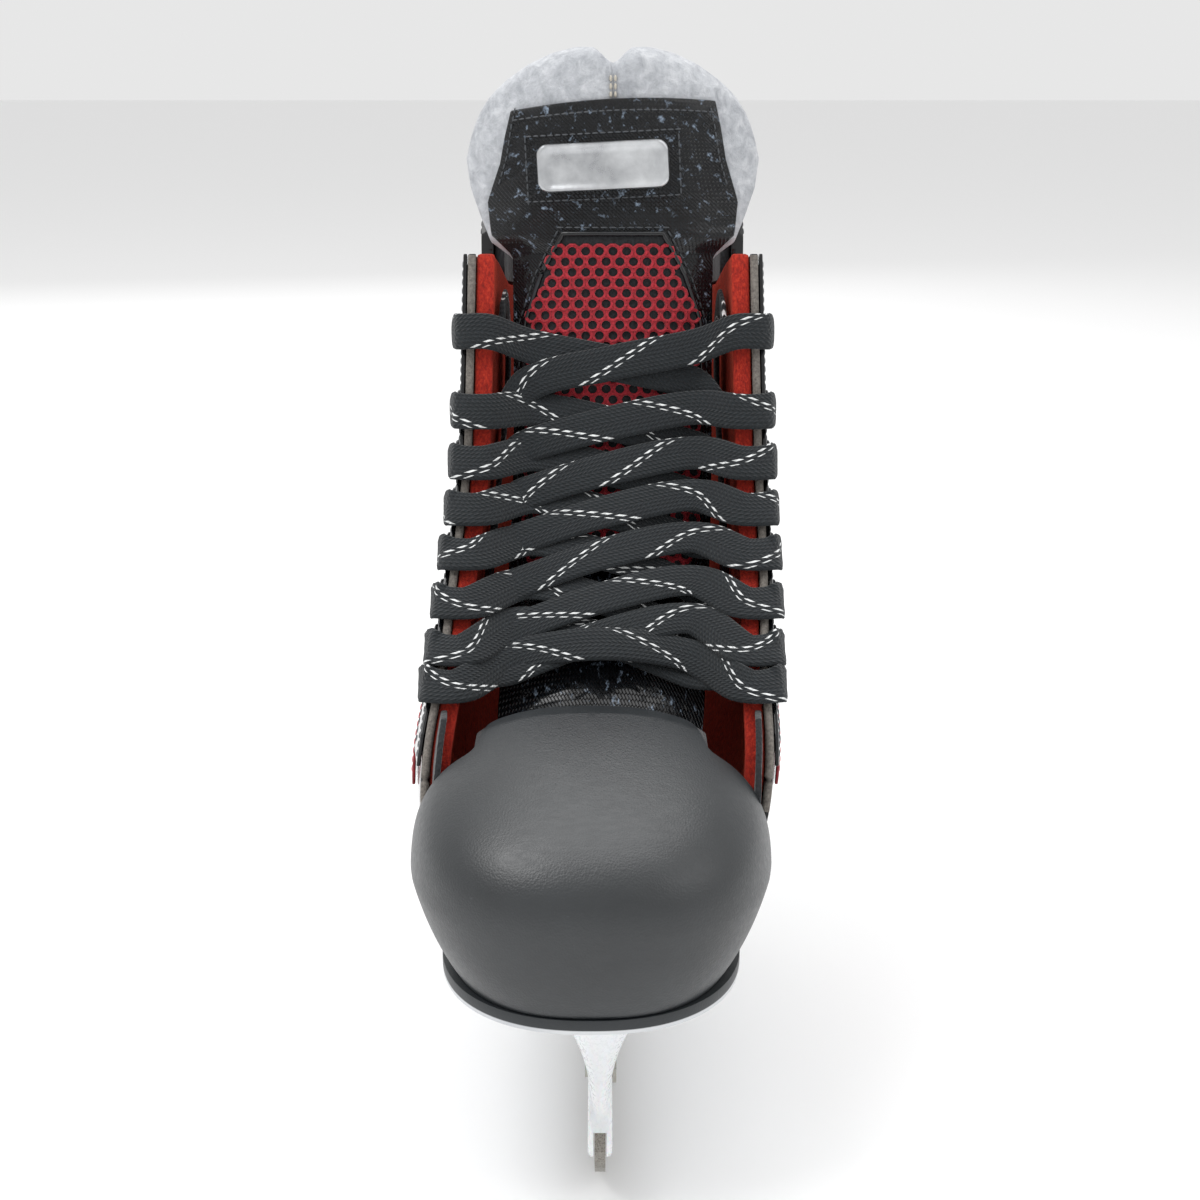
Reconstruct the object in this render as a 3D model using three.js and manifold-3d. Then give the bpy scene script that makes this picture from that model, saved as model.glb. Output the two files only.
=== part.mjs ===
// Ice hockey skate, right foot: steel runner, moulded blade holder, sole, toe cap, layered boot,
// hinged tongue and tendon guard, grommets and one long flat lace.
// Millimetres. X points to the inner (medial) side, the toe points to -Y and Z is up.
// The origin is on the ice under the middle of the runner.
import * as THREE from 'three';
import { mergeVertices } from 'three/addons/utils/BufferGeometryUtils.js';
import Module from 'manifold-3d';

const wasm = await Module();
wasm.setup();

// ---- driving dimensions -------------------------------------------------------------------
const GAP = 0.3; // clearance between touching pieces
const WELT = 1.3; // room for the lasted edge between the sole and the upper
const WRAP = 0.6; // clearance of a layer bent round the heel

const RUNNER_THICK = 3;
const RUNNER_HEIGHT = 24; // steel from the ice to the bottom of the holder's slot
const RUNNER_FRONT = -130;
const RUNNER_REAR = 126;
const ROCKER_RISE = 1.6; // how far the steel leaves the ice at the ends of the rocker

const RAIL_WIDTH = 6.8;
const RAIL_BOTTOM = 13;
const RAIL_TOP = 30;
const RAIL_FRONT = -133;
const RAIL_REAR = 130;
const FLANGE_THICK = 3;
const BOLT_RADIUS = 2.2;
const RIVET_RADIUS = 2;
const RIVET_HEAD = 4.2;

const SOLE_FRONT = 62; // underside of the outsole below the ball of the foot
const SOLE_HEEL = 73; // underside of the outsole below the heel
const SOLE_THICK = 4;
const BOARD_THICK = 2.4;
const FOOTBED_THICK = 4;
const TOE_Y = -147;
const HEEL_Y = 122;

const QUARTER_THICK = 2.4;
const LINING_THICK = 5.6;
const FACING_THICK = 1.2;
const FACING_WIDTH = 21;
const PANEL_THICK = 1;
const GUARD_THICK = 4;
const GUARD_RISE = 58;

const CAP_WALL = 2.8;
const CAP_HALF_WIDTH = 51;
const CAP_LENGTH = 66;
const CAP_HALF_HEIGHT = 44;
const CAP_REAR = -91;
const CAP_TAB_REAR = -77;
const CAP_TAB_HALF = 29;
const CAP_CENTRE = new THREE.Vector3(-2.5, -84, 86);
const CAP_TAPER = { from: 90, over: 24, share: 0.165, power: 1.1 }; // the cap narrows towards the sole

const FELT_THICK = 6;
const FACE_THICK = 1.2;
const MESH_THICK = 1.4;
const BADGE = { width: 39, height: 14.5, thick: 1.6, tilt: 0.05 };
const TONGUE_CREASE = 256; // height of the fold line of the tongue

const EYELET_ROWS = 8;
const EYELET_INSET = 9; // from the front edge of the facing to the eyelet centre
const EYELET_BORE = 2.7;
const EYELET_BARREL = 3.3;
const EYELET_FLANGE = 5;
const FLANGE_PLATE = 0.7;
const LACE_WIDTH = 11;
const LACE_THICK = 1.9;
const SHORT_STEP = 6.5; // stretches of lace under this length are straight
const LACE_GATHER = 2.8; // width and height of the lace inside a bore

const ROUND_SIDES = 6; // flats on a small round piece or hole

// ---- shared helpers -----------------------------------------------------------------------
const group = new THREE.Group();
const V3 = THREE.Vector3;

function clean(geometry) {
  const g = geometry.clone();
  g.deleteAttribute('normal');
  g.deleteAttribute('uv');
  const merged = mergeVertices(g, 1e-4);
  const src = merged.index.array;
  const kept = [];
  for (let i = 0; i < src.length; i += 3) {
    const [a, b, c] = [src[i], src[i + 1], src[i + 2]];
    if (a !== b && b !== c && c !== a) kept.push(a, b, c);
  }
  merged.setIndex(kept);
  return outward(merged);
}

function outward(geometry) {
  const p = geometry.attributes.position;
  const idx = geometry.index.array;
  const [a, b, c] = [new V3(), new V3(), new V3()];
  let volume = 0;
  for (let i = 0; i < idx.length; i += 3) {
    a.fromBufferAttribute(p, idx[i]);
    b.fromBufferAttribute(p, idx[i + 1]);
    c.fromBufferAttribute(p, idx[i + 2]);
    volume += a.dot(b.clone().cross(c));
  }
  if (volume < 0) {
    const flipped = [];
    for (let i = 0; i < idx.length; i += 3) flipped.push(idx[i], idx[i + 2], idx[i + 1]);
    geometry.setIndex(flipped);
  }
  return geometry;
}

function toSolid(geometry) {
  const g = clean(geometry);
  return new wasm.Manifold(new wasm.Mesh({
    numProp: 3,
    vertProperties: new Float32Array(g.attributes.position.array),
    triVerts: new Uint32Array(g.index.array),
  }));
}

function fromSolid(solid) {
  const mesh = solid.getMesh();
  const g = new THREE.BufferGeometry();
  g.setAttribute('position', new THREE.BufferAttribute(new Float32Array(mesh.vertProperties), 3));
  g.setIndex(Array.from(mesh.triVerts));
  return g;
}

function add(name, geometry, color, roughness = 0.6, metalness = 0) {
  const material = new THREE.MeshStandardMaterial({ color, roughness, metalness });
  const mesh = new THREE.Mesh(clean(geometry), material);
  mesh.name = name;
  group.add(mesh);
  return mesh;
}

// A box whose grid is mapped by f(u, v, w), each from 0 to 1: one closed skin.
function block(f, nu, nv, nw = 1) {
  const g = new THREE.BoxGeometry(1, 1, 1, nu, nv, nw);
  const p = g.attributes.position;
  for (let i = 0; i < p.count; i += 1) {
    const q = f(p.getX(i) + 0.5, p.getY(i) + 0.5, p.getZ(i) + 0.5);
    p.setXYZ(i, q.x, q.y, q.z);
  }
  return g;
}

function boxAt(x0, x1, y0, y1, z0, z1) {
  const g = new THREE.BoxGeometry(x1 - x0, y1 - y0, z1 - z0);
  g.translate((x0 + x1) / 2, (y0 + y1) / 2, (z0 + z1) / 2);
  return g;
}

// A (y, z) outline drawn as a shape and extruded across X.
function acrossX(shape, x0, x1, curveSegments = 8) {
  const g = new THREE.ExtrudeGeometry(shape, { depth: x1 - x0, bevelEnabled: false, curveSegments });
  const turn = new THREE.Matrix4().makeBasis(new V3(0, 1, 0), new V3(0, 0, 1), new V3(1, 0, 0));
  g.applyMatrix4(turn);
  g.translate(x0, 0, 0);
  return g;
}

const lerp = THREE.MathUtils.lerp;
const smooth = THREE.MathUtils.smoothstep;

function table(points, x) {
  if (x <= points[0][0]) return points[0][1];
  for (let i = 1; i < points.length; i += 1) {
    const [x1, y1] = points[i];
    if (x <= x1) {
      const [x0, y0] = points[i - 1];
      return lerp(y0, y1, (x - x0) / (x1 - x0));
    }
  }
  return points[points.length - 1][1];
}

// The same, with a smooth curve through the points.
function curve(points, x) {
  const last = points.length - 1;
  const at = THREE.MathUtils.clamp(x, points[0][0], points[last][0]);
  const slope = (i) => {
    const [a, b] = [points[Math.max(0, i - 1)], points[Math.min(last, i + 1)]];
    return (b[1] - a[1]) / (b[0] - a[0]);
  };
  let i = 0;
  while (i < last - 1 && at > points[i + 1][0]) i += 1;
  const [[x0, y0], [x1, y1]] = [points[i], points[i + 1]];
  const [t, span] = [(at - x0) / (x1 - x0), x1 - x0];
  return (2 * t ** 3 - 3 * t * t + 1) * y0 + (t ** 3 - 2 * t * t + t) * span * slope(i)
    + (3 * t * t - 2 * t ** 3) * y1 + (t ** 3 - t * t) * span * slope(i + 1);
}

// ---- sole lines ---------------------------------------------------------------------------
const footCentre = (y) => CAP_CENTRE.x * smooth(-y, -60, 60);
const soleUnder = (y) => lerp(SOLE_FRONT, SOLE_HEEL, smooth(y, -20, 48));
const soleTop = (y) => soleUnder(y) + SOLE_THICK;

// Half-width of the sole outline along its length, with round toe and heel.
function soleHalf(y, front, rear, grow) {
  const toe = Math.min(1, (y - front) / 52);
  const heel = Math.min(1, (rear - y) / 34);
  const body = table([[-150, 41], [-85, 41.5], [-40, 40], [10, 34.5], [60, 32.5], [125, 33]], y);
  const round = (t, n) => (1 - (1 - Math.max(0, t)) ** n) ** (1 / n);
  return (body + grow) * round(toe, 2.3) * round(heel, 2);
}

function solePlate(front, rear, grow, low, high, nu = 26) {
  const middle = (front + rear) / 2;
  return block((u, v, w) => {
    const y = middle - Math.cos(Math.PI * (0.015 + 0.97 * u)) * (rear - front) / 2;
    const half = soleHalf(y, front, rear, grow);
    const x = footCentre(y) + (2 * v - 1) * half;
    return new V3(x, y, soleUnder(y) + lerp(low, high, w));
  }, nu, 2);
}

// ---- boot side surface --------------------------------------------------------------------
// The front edge climbs from the toe cap, along the lacing, to the top of the facing.
const bootBase = (y) => soleTop(y) + WELT;
const frontEdge = new THREE.CatmullRomCurve3([
  new V3(0, -89, bootBase(-89)), new V3(0, -88, 88), new V3(0, -82, 110), new V3(0, -66, 131),
  new V3(0, -45, 149), new V3(0, -23, 171), new V3(0, -7, 195), new V3(0, 3, 220),
  new V3(0, 11.5, 247),
]);
const backEdge = new THREE.CatmullRomCurve3([
  new V3(0, 118, bootBase(118)), new V3(0, HEEL_Y + 5, 98), new V3(0, HEEL_Y + 4, 122),
  new V3(0, 113, 160), new V3(0, 101, 195), new V3(0, 98, 222),
]);
const HEEL_ROUND = 40;
const SIDE_SHARE = 0.68; // share of a slice that lies ahead of the heel's round
const SEAM_SHARE = 0.998; // where the two halves stop short of the back seam

function halfWidth(y, h) {
  const rows = [
    [0, curve([[-90, 42], [-60, 45], [-20, 42], [20, 36.5], [60, 34.5], [100, 33.5]], y)],
    [35, curve([[-90, 49], [-60, 52.5], [-35, 52.5], [-10, 49.5], [20, 44], [60, 41], [100, 37]], y)],
    [75, curve([[-70, 47], [-20, 49], [20, 47], [60, 43], [100, 36]], y)],
    [125, curve([[-20, 45], [20, 46], [60, 42], [100, 34]], y)],
    [175, curve([[0, 44], [20, 44.5], [60, 41], [100, 32]], y)],
  ];
  return curve(rows, h);
}

const sideCentre = (h, y) => lerp(footCentre(y), 4, smooth(h, 0, 130));

function sidePoint(side, u, v) {
  const a = frontEdge.getPointAt(v);
  const b = backEdge.getPointAt(v);
  const turnY = b.y - HEEL_ROUND;
  const height = lerp(a.z - bootBase(a.y), b.z - bootBase(b.y), u);
  let y;
  let share = 1;
  if (u <= SIDE_SHARE) {
    y = lerp(a.y, turnY, u / SIDE_SHARE);
  } else {
    const angle = (u - SIDE_SHARE) / (1 - SIDE_SHARE) * Math.PI / 2;
    y = turnY + HEEL_ROUND * Math.sin(angle);
    share = Math.max(0.006, Math.cos(angle) ** 0.85);
  }
  const half = halfWidth(Math.min(y, turnY), height) * share;
  return new V3(sideCentre(height, y) + side * half, y, bootBase(y) + height);
}

function sideNormal(side, u, v) {
  const e = 0.004;
  const [u0, u1] = [Math.max(0, u - e), Math.min(0.999, u + e)];
  const [v0, v1] = [Math.max(0, v - e), Math.min(1, v + e)];
  const du = sidePoint(side, u1, v).sub(sidePoint(side, u0, v));
  const dv = sidePoint(side, u, v1).sub(sidePoint(side, u, v0));
  return du.cross(dv).multiplyScalar(side).normalize();
}

// Layers are spaced level, so every layer keeps the height of its neighbours.
function sideOffset(side, u, v, depth) {
  const n = sideNormal(side, u, v).setZ(0).normalize();
  if (u > 0.99) n.set(0, 1, 0);
  return sidePoint(side, u, v).addScaledVector(n, depth);
}

// Half of a layer's steps lie in the heel's round, so that every layer bends at the same places.
function heelSteps(u, end) {
  return u < 0.5 ? u * 2 * SIDE_SHARE : lerp(SIDE_SHARE, end, 2 * u - 1);
}

// A layer of the boot wall between two depths; depth 0 is the outer face of the quarter.
function sideShell(side, range, depths, nu, nv) {
  const [u0, u1, v0, v1] = range;
  return block((u, v, w) => {
    const vv = lerp(v0, v1, v);
    const share = typeof u1 === 'function' ? lerp(u0, u1(vv), u) : heelSteps(u, u1);
    const q = sideOffset(side, share, vv, lerp(depths[0], depths[1], w));
    if (v === 0 && v0 === 0) q.z = bootBase(q.y);
    return q;
  }, nu, nv);
}

const sliceLength = (v) => (backEdge.getPointAt(v).y - HEEL_ROUND - frontEdge.getPointAt(v).y) / SIDE_SHARE;
const inFromEdge = (distance, v) => distance / sliceLength(v);

// ---- eyelets ------------------------------------------------------------------------------
const ROW_SHARES = [0.888, 0.774, 0.698, 0.626, 0.555, 0.476, 0.399, 0.341];
const OUTER_DEPTH = GAP + FACING_THICK;
const INNER_DEPTH = -QUARTER_THICK - GAP - LINING_THICK;

function eyeletFrame(side, row) {
  const v = ROW_SHARES[row];
  const u = inFromEdge(EYELET_INSET, v);
  const axis = sideNormal(side, u, v);
  return { v, u, axis, centre: sidePoint(side, u, v) };
}

function alongAxis(geometry, frame, depth) {
  const turn = new THREE.Quaternion().setFromUnitVectors(new V3(0, 1, 0), frame.axis);
  geometry.applyQuaternion(turn);
  const at = frame.centre.clone().addScaledVector(frame.axis, depth);
  return geometry.translate(at.x, at.y, at.z);
}

function eyeletGeometry(frame) {
  const outer = OUTER_DEPTH + GAP;
  const inner = INNER_DEPTH + 1.8;
  const profile = [
    [EYELET_BORE, inner], [EYELET_BARREL, inner], [EYELET_BARREL, outer],
    [EYELET_FLANGE, outer], [EYELET_FLANGE - 0.4, outer + FLANGE_PLATE],
    [EYELET_BORE, outer + FLANGE_PLATE], [EYELET_BORE, inner],
  ].map(([r, y]) => new THREE.Vector2(r, y));
  return alongAxis(new THREE.LatheGeometry(profile, ROUND_SIDES), frame, 0);
}

function eyeletHoles(side) {
  const cutters = [];
  for (let row = 0; row < EYELET_ROWS; row += 1) {
    const radius = EYELET_BARREL + GAP;
    const cutter = new THREE.CylinderGeometry(radius, radius, 30, ROUND_SIDES);
    cutters.push(toSolid(alongAxis(cutter, eyeletFrame(side, row), -5)));
  }
  return wasm.Manifold.union(cutters);
}

// ---- runner and blade holder --------------------------------------------------------------
function runner() {
  const s = new THREE.Shape();
  s.moveTo(RUNNER_FRONT + 3, RUNNER_HEIGHT);
  s.lineTo(RUNNER_FRONT, 18);
  s.bezierCurveTo(RUNNER_FRONT + 4, 8, RUNNER_FRONT + 13, 2.6, RUNNER_FRONT + 26, ROCKER_RISE);
  s.lineTo(-60, 0.45);
  s.lineTo(-22, 0);
  s.lineTo(22, 0);
  s.lineTo(60, 0.45);
  s.lineTo(RUNNER_REAR - 20, ROCKER_RISE);
  s.bezierCurveTo(RUNNER_REAR - 8, 2.6, RUNNER_REAR - 2, 6, RUNNER_REAR, 12.6);
  s.lineTo(RUNNER_REAR - 4, RUNNER_HEIGHT);
  s.closePath();
  return acrossX(s, -RUNNER_THICK / 2, RUNNER_THICK / 2, 7);
}

// A tower of the holder: it leaves the rail narrow and flares into a flange under the sole.
function tower(centre, lowHalf, highHalf, highWidth, top) {
  const g = new THREE.CylinderGeometry(1, 1, 1, 16, 5);
  const p = g.attributes.position;
  for (let i = 0; i < p.count; i += 1) {
    const v = p.getY(i) + 0.5;
    const flare = v ** 2.6;
    const half = lerp(lowHalf, highHalf, v ** 1.6);
    const wide = lerp(RAIL_WIDTH / 2 - 0.1, highWidth, flare);
    const [sx, sy] = [p.getX(i), p.getZ(i)];
    const squarish = (t) => Math.sign(t) * Math.abs(t) ** 0.8;
    p.setXYZ(i, squarish(sx) * wide, centre + squarish(sy) * half, lerp(RAIL_BOTTOM + 8, top, v));
  }
  return g;
}

function flangeUnder(centre, half, wide, top) {
  const g = new THREE.CylinderGeometry(1, 0.96, FLANGE_THICK, 20, 1);
  const p = g.attributes.position;
  for (let i = 0; i < p.count; i += 1) {
    const squarish = (t) => Math.sign(t) * Math.abs(t) ** 0.75;
    const z = top - FLANGE_THICK / 2 + p.getY(i);
    p.setXYZ(i, squarish(p.getX(i)) * wide, centre + squarish(p.getZ(i)) * half, z);
  }
  return g;
}

const FRONT_TOWER = { centre: -84, low: 44, high: 50, wide: 21, top: SOLE_FRONT - GAP };
const REAR_TOWER = { centre: 88, low: 38, high: 32, wide: 17, top: SOLE_HEEL - GAP };
const RUNNER_BOLTS = [-84, 88];
const BOLT_HEIGHT = 19;

function holder() {
  const s = new THREE.Shape();
  s.moveTo(RAIL_FRONT, 22);
  s.quadraticCurveTo(RAIL_FRONT - 0.5, 17, RAIL_FRONT + 5, 15.5);
  s.lineTo(RAIL_FRONT + 26, RAIL_BOTTOM);
  s.lineTo(RAIL_REAR - 14, RAIL_BOTTOM);
  s.quadraticCurveTo(RAIL_REAR, RAIL_BOTTOM, RAIL_REAR, 18);
  s.lineTo(RAIL_REAR - 3, RAIL_TOP);
  s.lineTo(FRONT_TOWER.centre + 44, RAIL_TOP - 2);
  s.lineTo(RAIL_FRONT + 8, RAIL_TOP);
  s.closePath();
  let solid = toSolid(acrossX(s, -RAIL_WIDTH / 2, RAIL_WIDTH / 2));
  for (const t of [FRONT_TOWER, REAR_TOWER]) {
    solid = solid.add(toSolid(tower(t.centre, t.low, t.high, t.wide, t.top)));
  }
  solid = solid.add(toSolid(flangeUnder(-86, 53, 29, FRONT_TOWER.top)));
  solid = solid.add(toSolid(flangeUnder(86, 34, 23, REAR_TOWER.top)));
  const slot = (RUNNER_THICK / 2) + GAP;
  solid = solid.subtract(toSolid(boxAt(-slot, slot, -160, 160, 0, RUNNER_HEIGHT + GAP)));
  for (const y of RUNNER_BOLTS) {
    const bore = new THREE.CylinderGeometry(BOLT_RADIUS + GAP, BOLT_RADIUS + GAP, 60, ROUND_SIDES);
    solid = solid.subtract(toSolid(bore.rotateZ(Math.PI / 2).translate(0, y, BOLT_HEIGHT)));
  }
  return solid;
}

function rivetPlaces() {
  const places = [];
  for (const y of [-122, -88, -54]) {
    for (const x of [-1, 1]) places.push(['front', x * 20, y, SOLE_FRONT]);
  }
  for (const y of [66, 106]) {
    for (const x of [-1, 1]) places.push(['rear', x * 15.5, y, SOLE_HEEL]);
  }
  return places;
}

function build() {
  const steel = new THREE.Color('#8a8680');
  const bolted = RUNNER_BOLTS.map((y) => {
    const bore = new THREE.CylinderGeometry(BOLT_RADIUS + GAP, BOLT_RADIUS + GAP, 60, ROUND_SIDES);
    return toSolid(bore.rotateZ(Math.PI / 2).translate(0, y, BOLT_HEIGHT));
  });
  let blade = toSolid(runner());
  for (const bore of bolted) blade = blade.subtract(bore);
  add('runner', fromSolid(blade), steel, 0.3, 1);

  let mount = holder();
  let outsole = toSolid(solePlate(TOE_Y, HEEL_Y, 0.6, 0, SOLE_THICK));
  for (const [, x, y, level] of rivetPlaces()) {
    const bore = new THREE.CylinderGeometry(RIVET_RADIUS + GAP, RIVET_RADIUS + GAP, 9, ROUND_SIDES);
    const cut = toSolid(bore.rotateX(Math.PI / 2).translate(x, y, level));
    mount = mount.subtract(cut);
    outsole = outsole.subtract(cut);
    const seat = new THREE.CylinderGeometry(RIVET_HEAD + GAP, RIVET_HEAD + GAP, 40, ROUND_SIDES);
    const under = level - GAP - FLANGE_THICK;
    mount = mount.subtract(toSolid(seat.rotateX(Math.PI / 2).translate(x, y, under - 20)));
  }
  add('blade_holder', fromSolid(mount), '#e6e8ea', 0.35);
  add('outsole', fromSolid(outsole), '#d9dbde', 0.5);

  RUNNER_BOLTS.forEach((y, i) => {
    const half = RAIL_WIDTH / 2;
    const profile = [[0, -half - 1.4], [4, -half - 1.4], [4, -half - GAP], [BOLT_RADIUS, -half - GAP],
      [BOLT_RADIUS, half + 1], [0, half + 1]].map(([r, t]) => new THREE.Vector2(r, t));
    const bolt = new THREE.LatheGeometry(profile, ROUND_SIDES);
    bolt.rotateZ(Math.PI / 2).translate(0, y, BOLT_HEIGHT);
    add(`runner_bolt_${i === 0 ? 'front' : 'rear'}`, bolt, steel, 0.4, 1);
  });

  const counts = { front: 0, rear: 0 };
  for (const [place, x, y, level] of rivetPlaces()) {
    counts[place] += 1;
    const under = level - GAP - FLANGE_THICK;
    const profile = [[0, under - GAP - 1.1], [RIVET_HEAD - 1, under - GAP - 1.1],
      [RIVET_HEAD, under - GAP], [RIVET_RADIUS, under - GAP], [RIVET_RADIUS, level + 3.6],
      [0, level + 3.6]].map(([r, z]) => new THREE.Vector2(r, z - level));
    const rivet = new THREE.LatheGeometry(profile, ROUND_SIDES);
    rivet.rotateX(Math.PI / 2).translate(x, y, level);
    add(`rivet_${place}_${counts[place]}`, rivet, '#b9b6ae', 0.4, 1);
  }
}

// ---- toe cap and its liner ----------------------------------------------------------------
// A rounded box body whose top falls away towards the toe.
function capBody(shrink) {
  const g = new THREE.SphereGeometry(1, 20, 12);
  const p = g.attributes.position;
  const power = 2.5;
  const fall = 15;
  for (let i = 0; i < p.count; i += 1) {
    const d = new V3(p.getX(i), p.getZ(i), p.getY(i));
    const sum = Math.abs(d.x) ** power + Math.abs(d.y) ** power + Math.abs(d.z) ** power;
    d.multiplyScalar(sum ** (-1 / power));
    const top = Math.max(0, d.z) ** 2;
    const z = CAP_CENTRE.z + d.z * (CAP_HALF_HEIGHT - shrink) + fall * top * Math.min(0, d.y);
    const low = THREE.MathUtils.clamp((CAP_TAPER.from - z) / CAP_TAPER.over, 0, 1.4);
    const wide = (CAP_HALF_WIDTH - shrink) * (1 - CAP_TAPER.share * low ** CAP_TAPER.power);
    p.setXYZ(i, CAP_CENTRE.x + d.x * wide, CAP_CENTRE.y + d.y * (CAP_LENGTH - shrink), z);
  }
  return toSolid(g);
}

function capShell(outer, wall, rear, tabRear, tabHalf) {
  const x = CAP_CENTRE.x;
  const floor = SOLE_FRONT + SOLE_THICK + GAP;
  const region = toSolid(boxAt(x - 60, x + 60, -170, rear, floor, 160))
    .add(toSolid(boxAt(x - tabHalf, x + tabHalf, -120, tabRear, 100, 160)));
  return capBody(outer).subtract(capBody(outer + wall)).intersect(region);
}

// ---- layers wrapped round the heel ---------------------------------------------------------
// a runs from -1 (lateral) over 0 (back seam) to 1 (medial); reach is the share of a slice.
function heelPoint(a, v, reach, depth) {
  const side = a < 0 ? -1 : 1;
  const q = sideOffset(side, 1 - Math.abs(a) * reach, v, depth);
  if (Math.abs(a) < 1e-6) q.x = sideCentre(q.z - bootBase(q.y), q.y);
  return q;
}

function heelShell(reach, v0, v1, depths, nu, nv) {
  return block((u, v, w) => heelPoint(2 * u - 1, lerp(v0, v1, v), reach, lerp(depths[0], depths[1], w)),
    nu, nv);
}

const GUARD_REACH = 0.42;
const guardTop = (a) => GUARD_RISE * (1 - 0.78 * Math.abs(a) ** 1.7);

function guardShell(depths, lift, trim, nu, nv) {
  return block((u, v, w) => {
    const a = 2 * u - 1;
    const q = heelPoint(a, 1, GUARD_REACH * trim, lerp(depths[0], depths[1], w));
    const rise = lift + v * (guardTop(a) - lift - (1 - trim) * 30);
    q.z += rise;
    q.y += rise * 0.1;
    return q;
  }, nu, nv);
}

// ---- tongue -------------------------------------------------------------------------------
const tongueLine = new THREE.CatmullRomCurve3([
  new V3(0, -86, 110), new V3(0, -72, 117), new V3(0, -57, 126), new V3(0, -37, 144),
  new V3(0, -15, 168), new V3(0, 1, 194), new V3(0, 10, 220), new V3(0, 15, 243),
  new V3(0, 16.5, 256), new V3(0, 18, 280), new V3(0, 20, 309),
]);

function shareAtHeight(curve, z) {
  let [low, high] = [0, 1];
  for (let i = 0; i < 24; i += 1) {
    const middle = (low + high) / 2;
    if (curve.getPointAt(middle).z < z) low = middle;
    else high = middle;
  }
  return (low + high) / 2;
}

const feltHalf = (z) => table([[110, 29], [126, 31], [247, 31.5], [251, 39], [256, 40], [265, 45],
  [277, 47], [288, 44.5], [296, 40], [303, 32], [307, 24], [309, 14]], z);
const faceHalf = (z) => table([[110, 28], [126, 30], [247, 30.7], [251, 37.5], [262, 38.5], [275, 34],
  [284, 31.5], [290, 28], [293, 24]], z);
const meshHalf = (z) => table([[156, 24], [165, 26.4], [226, 26.4], [240, 21.5], [252.5, 15]], z);
const tongueBow = (z) => lerp(9, 15, smooth(z, 244, 275));

function tonguePoint(x, z, depth) {
  const t = shareAtHeight(tongueLine, z);
  const c = tongueLine.getPointAt(t);
  const along = tongueLine.getTangentAt(t);
  const front = new V3(0, -along.z, along.y);
  const a = x / feltHalf(z);
  const bow = tongueBow(z);
  const normal = new V3(2 * bow * a / feltHalf(z), 0, 0).add(front).normalize();
  const centre = sideCentre(z - bootBase(c.y), c.y);
  return new V3(centre + x, c.y, c.z).addScaledVector(front, -bow * a * a).addScaledVector(normal, depth);
}

function tongueSheet(low, high, half, depths, nu, nv) {
  return block((u, v, w) => {
    const z = lerp(low, high, v);
    return tonguePoint((2 * u - 1) * half(z), z, lerp(depths[0], depths[1], w));
  }, nu, nv);
}

const FACE_OUT = GAP + FACE_THICK;
const MESH_OUT = FACE_OUT + GAP + MESH_THICK;

function badge() {
  const middle = 273;
  return block((u, v, w) => {
    const [bx, bz] = [(u - 0.5) * BADGE.width, (v - 0.5) * BADGE.height];
    const x = -3 + bx * Math.cos(BADGE.tilt) - bz * Math.sin(BADGE.tilt);
    const z = middle + bz * Math.cos(BADGE.tilt) + bx * Math.sin(BADGE.tilt);
    return tonguePoint(x, z, FACE_OUT + GAP + w * BADGE.thick);
  }, 8, 2);
}

// ---- lace ---------------------------------------------------------------------------------
// Each stop of the lace: where its middle is, which way its width points, its width and height.
function onSide(side, distance, v, depth) {
  return sideOffset(side, inFromEdge(Math.max(0, distance), v), v, depth)
    .addScaledVector(aheadOfEdge(side, v), Math.max(0, -distance));
}

function aheadOfEdge(side, v) {
  return sidePoint(side, 0, v).sub(sidePoint(side, 0.03, v)).normalize();
}

function edgeAlong(v) {
  const t = frontEdge.getTangentAt(v);
  return new V3(0, t.y, t.z);
}

// The stops of one loop: over the edge of the facing, round it, in at the eyelet, out inside.
function loopStops(side, row) {
  const v = ROW_SHARES[row];
  const wide = edgeAlong(v);
  const out = OUTER_DEPTH;
  const stop = (distance, depth, width, thick) => (
    { at: onSide(side, distance, v, depth), wide, width, thick });
  const frame = eyeletFrame(side, row);
  const inBore = (depth, width, thick) => (
    { at: frame.centre.clone().addScaledVector(frame.axis, depth), wide, width, thick });
  return [
    stop(-5.2, INNER_DEPTH + 1.5, LACE_WIDTH, LACE_THICK),
    stop(-3.4, out + 0.4, LACE_WIDTH, LACE_THICK),
    stop(0.6, out + 3.2, LACE_WIDTH, LACE_THICK),
    stop(4.8, out + 3.3, LACE_WIDTH - 2, LACE_THICK),
    inBore(out + 2.8, 3.6, 2),
    inBore(-1.5, LACE_GATHER, LACE_GATHER),
    inBore(INNER_DEPTH - 1.4, LACE_GATHER, LACE_GATHER),
  ];
}

// A strand leaves the inside of one side's eyelet and crosses the tongue to the next row up.
function crossingStops(side, row) {
  const from = ROW_SHARES[row + 1];
  const to = ROW_SHARES[row];
  const lift = side > 0 ? 8.3 : 6;
  const wide = edgeAlong((from + to) / 2);
  const z = (frontEdge.getPointAt(from).z + frontEdge.getPointAt(to).z) / 2;
  const lean = 9;
  return [
    { at: onSide(-side, 3, from, INNER_DEPTH - 3.6), wide: edgeAlong(from), width: 7, thick: 2.2 },
    { at: tonguePoint(-side * 22, z - lean * 0.6, lift + 0.3), wide, width: LACE_WIDTH, thick: LACE_THICK },
    { at: tonguePoint(0, z, lift), wide, width: LACE_WIDTH, thick: LACE_THICK },
    { at: tonguePoint(side * 22, z + lean * 0.6, lift + 1.8), wide, width: LACE_WIDTH, thick: LACE_THICK },
  ];
}

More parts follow.
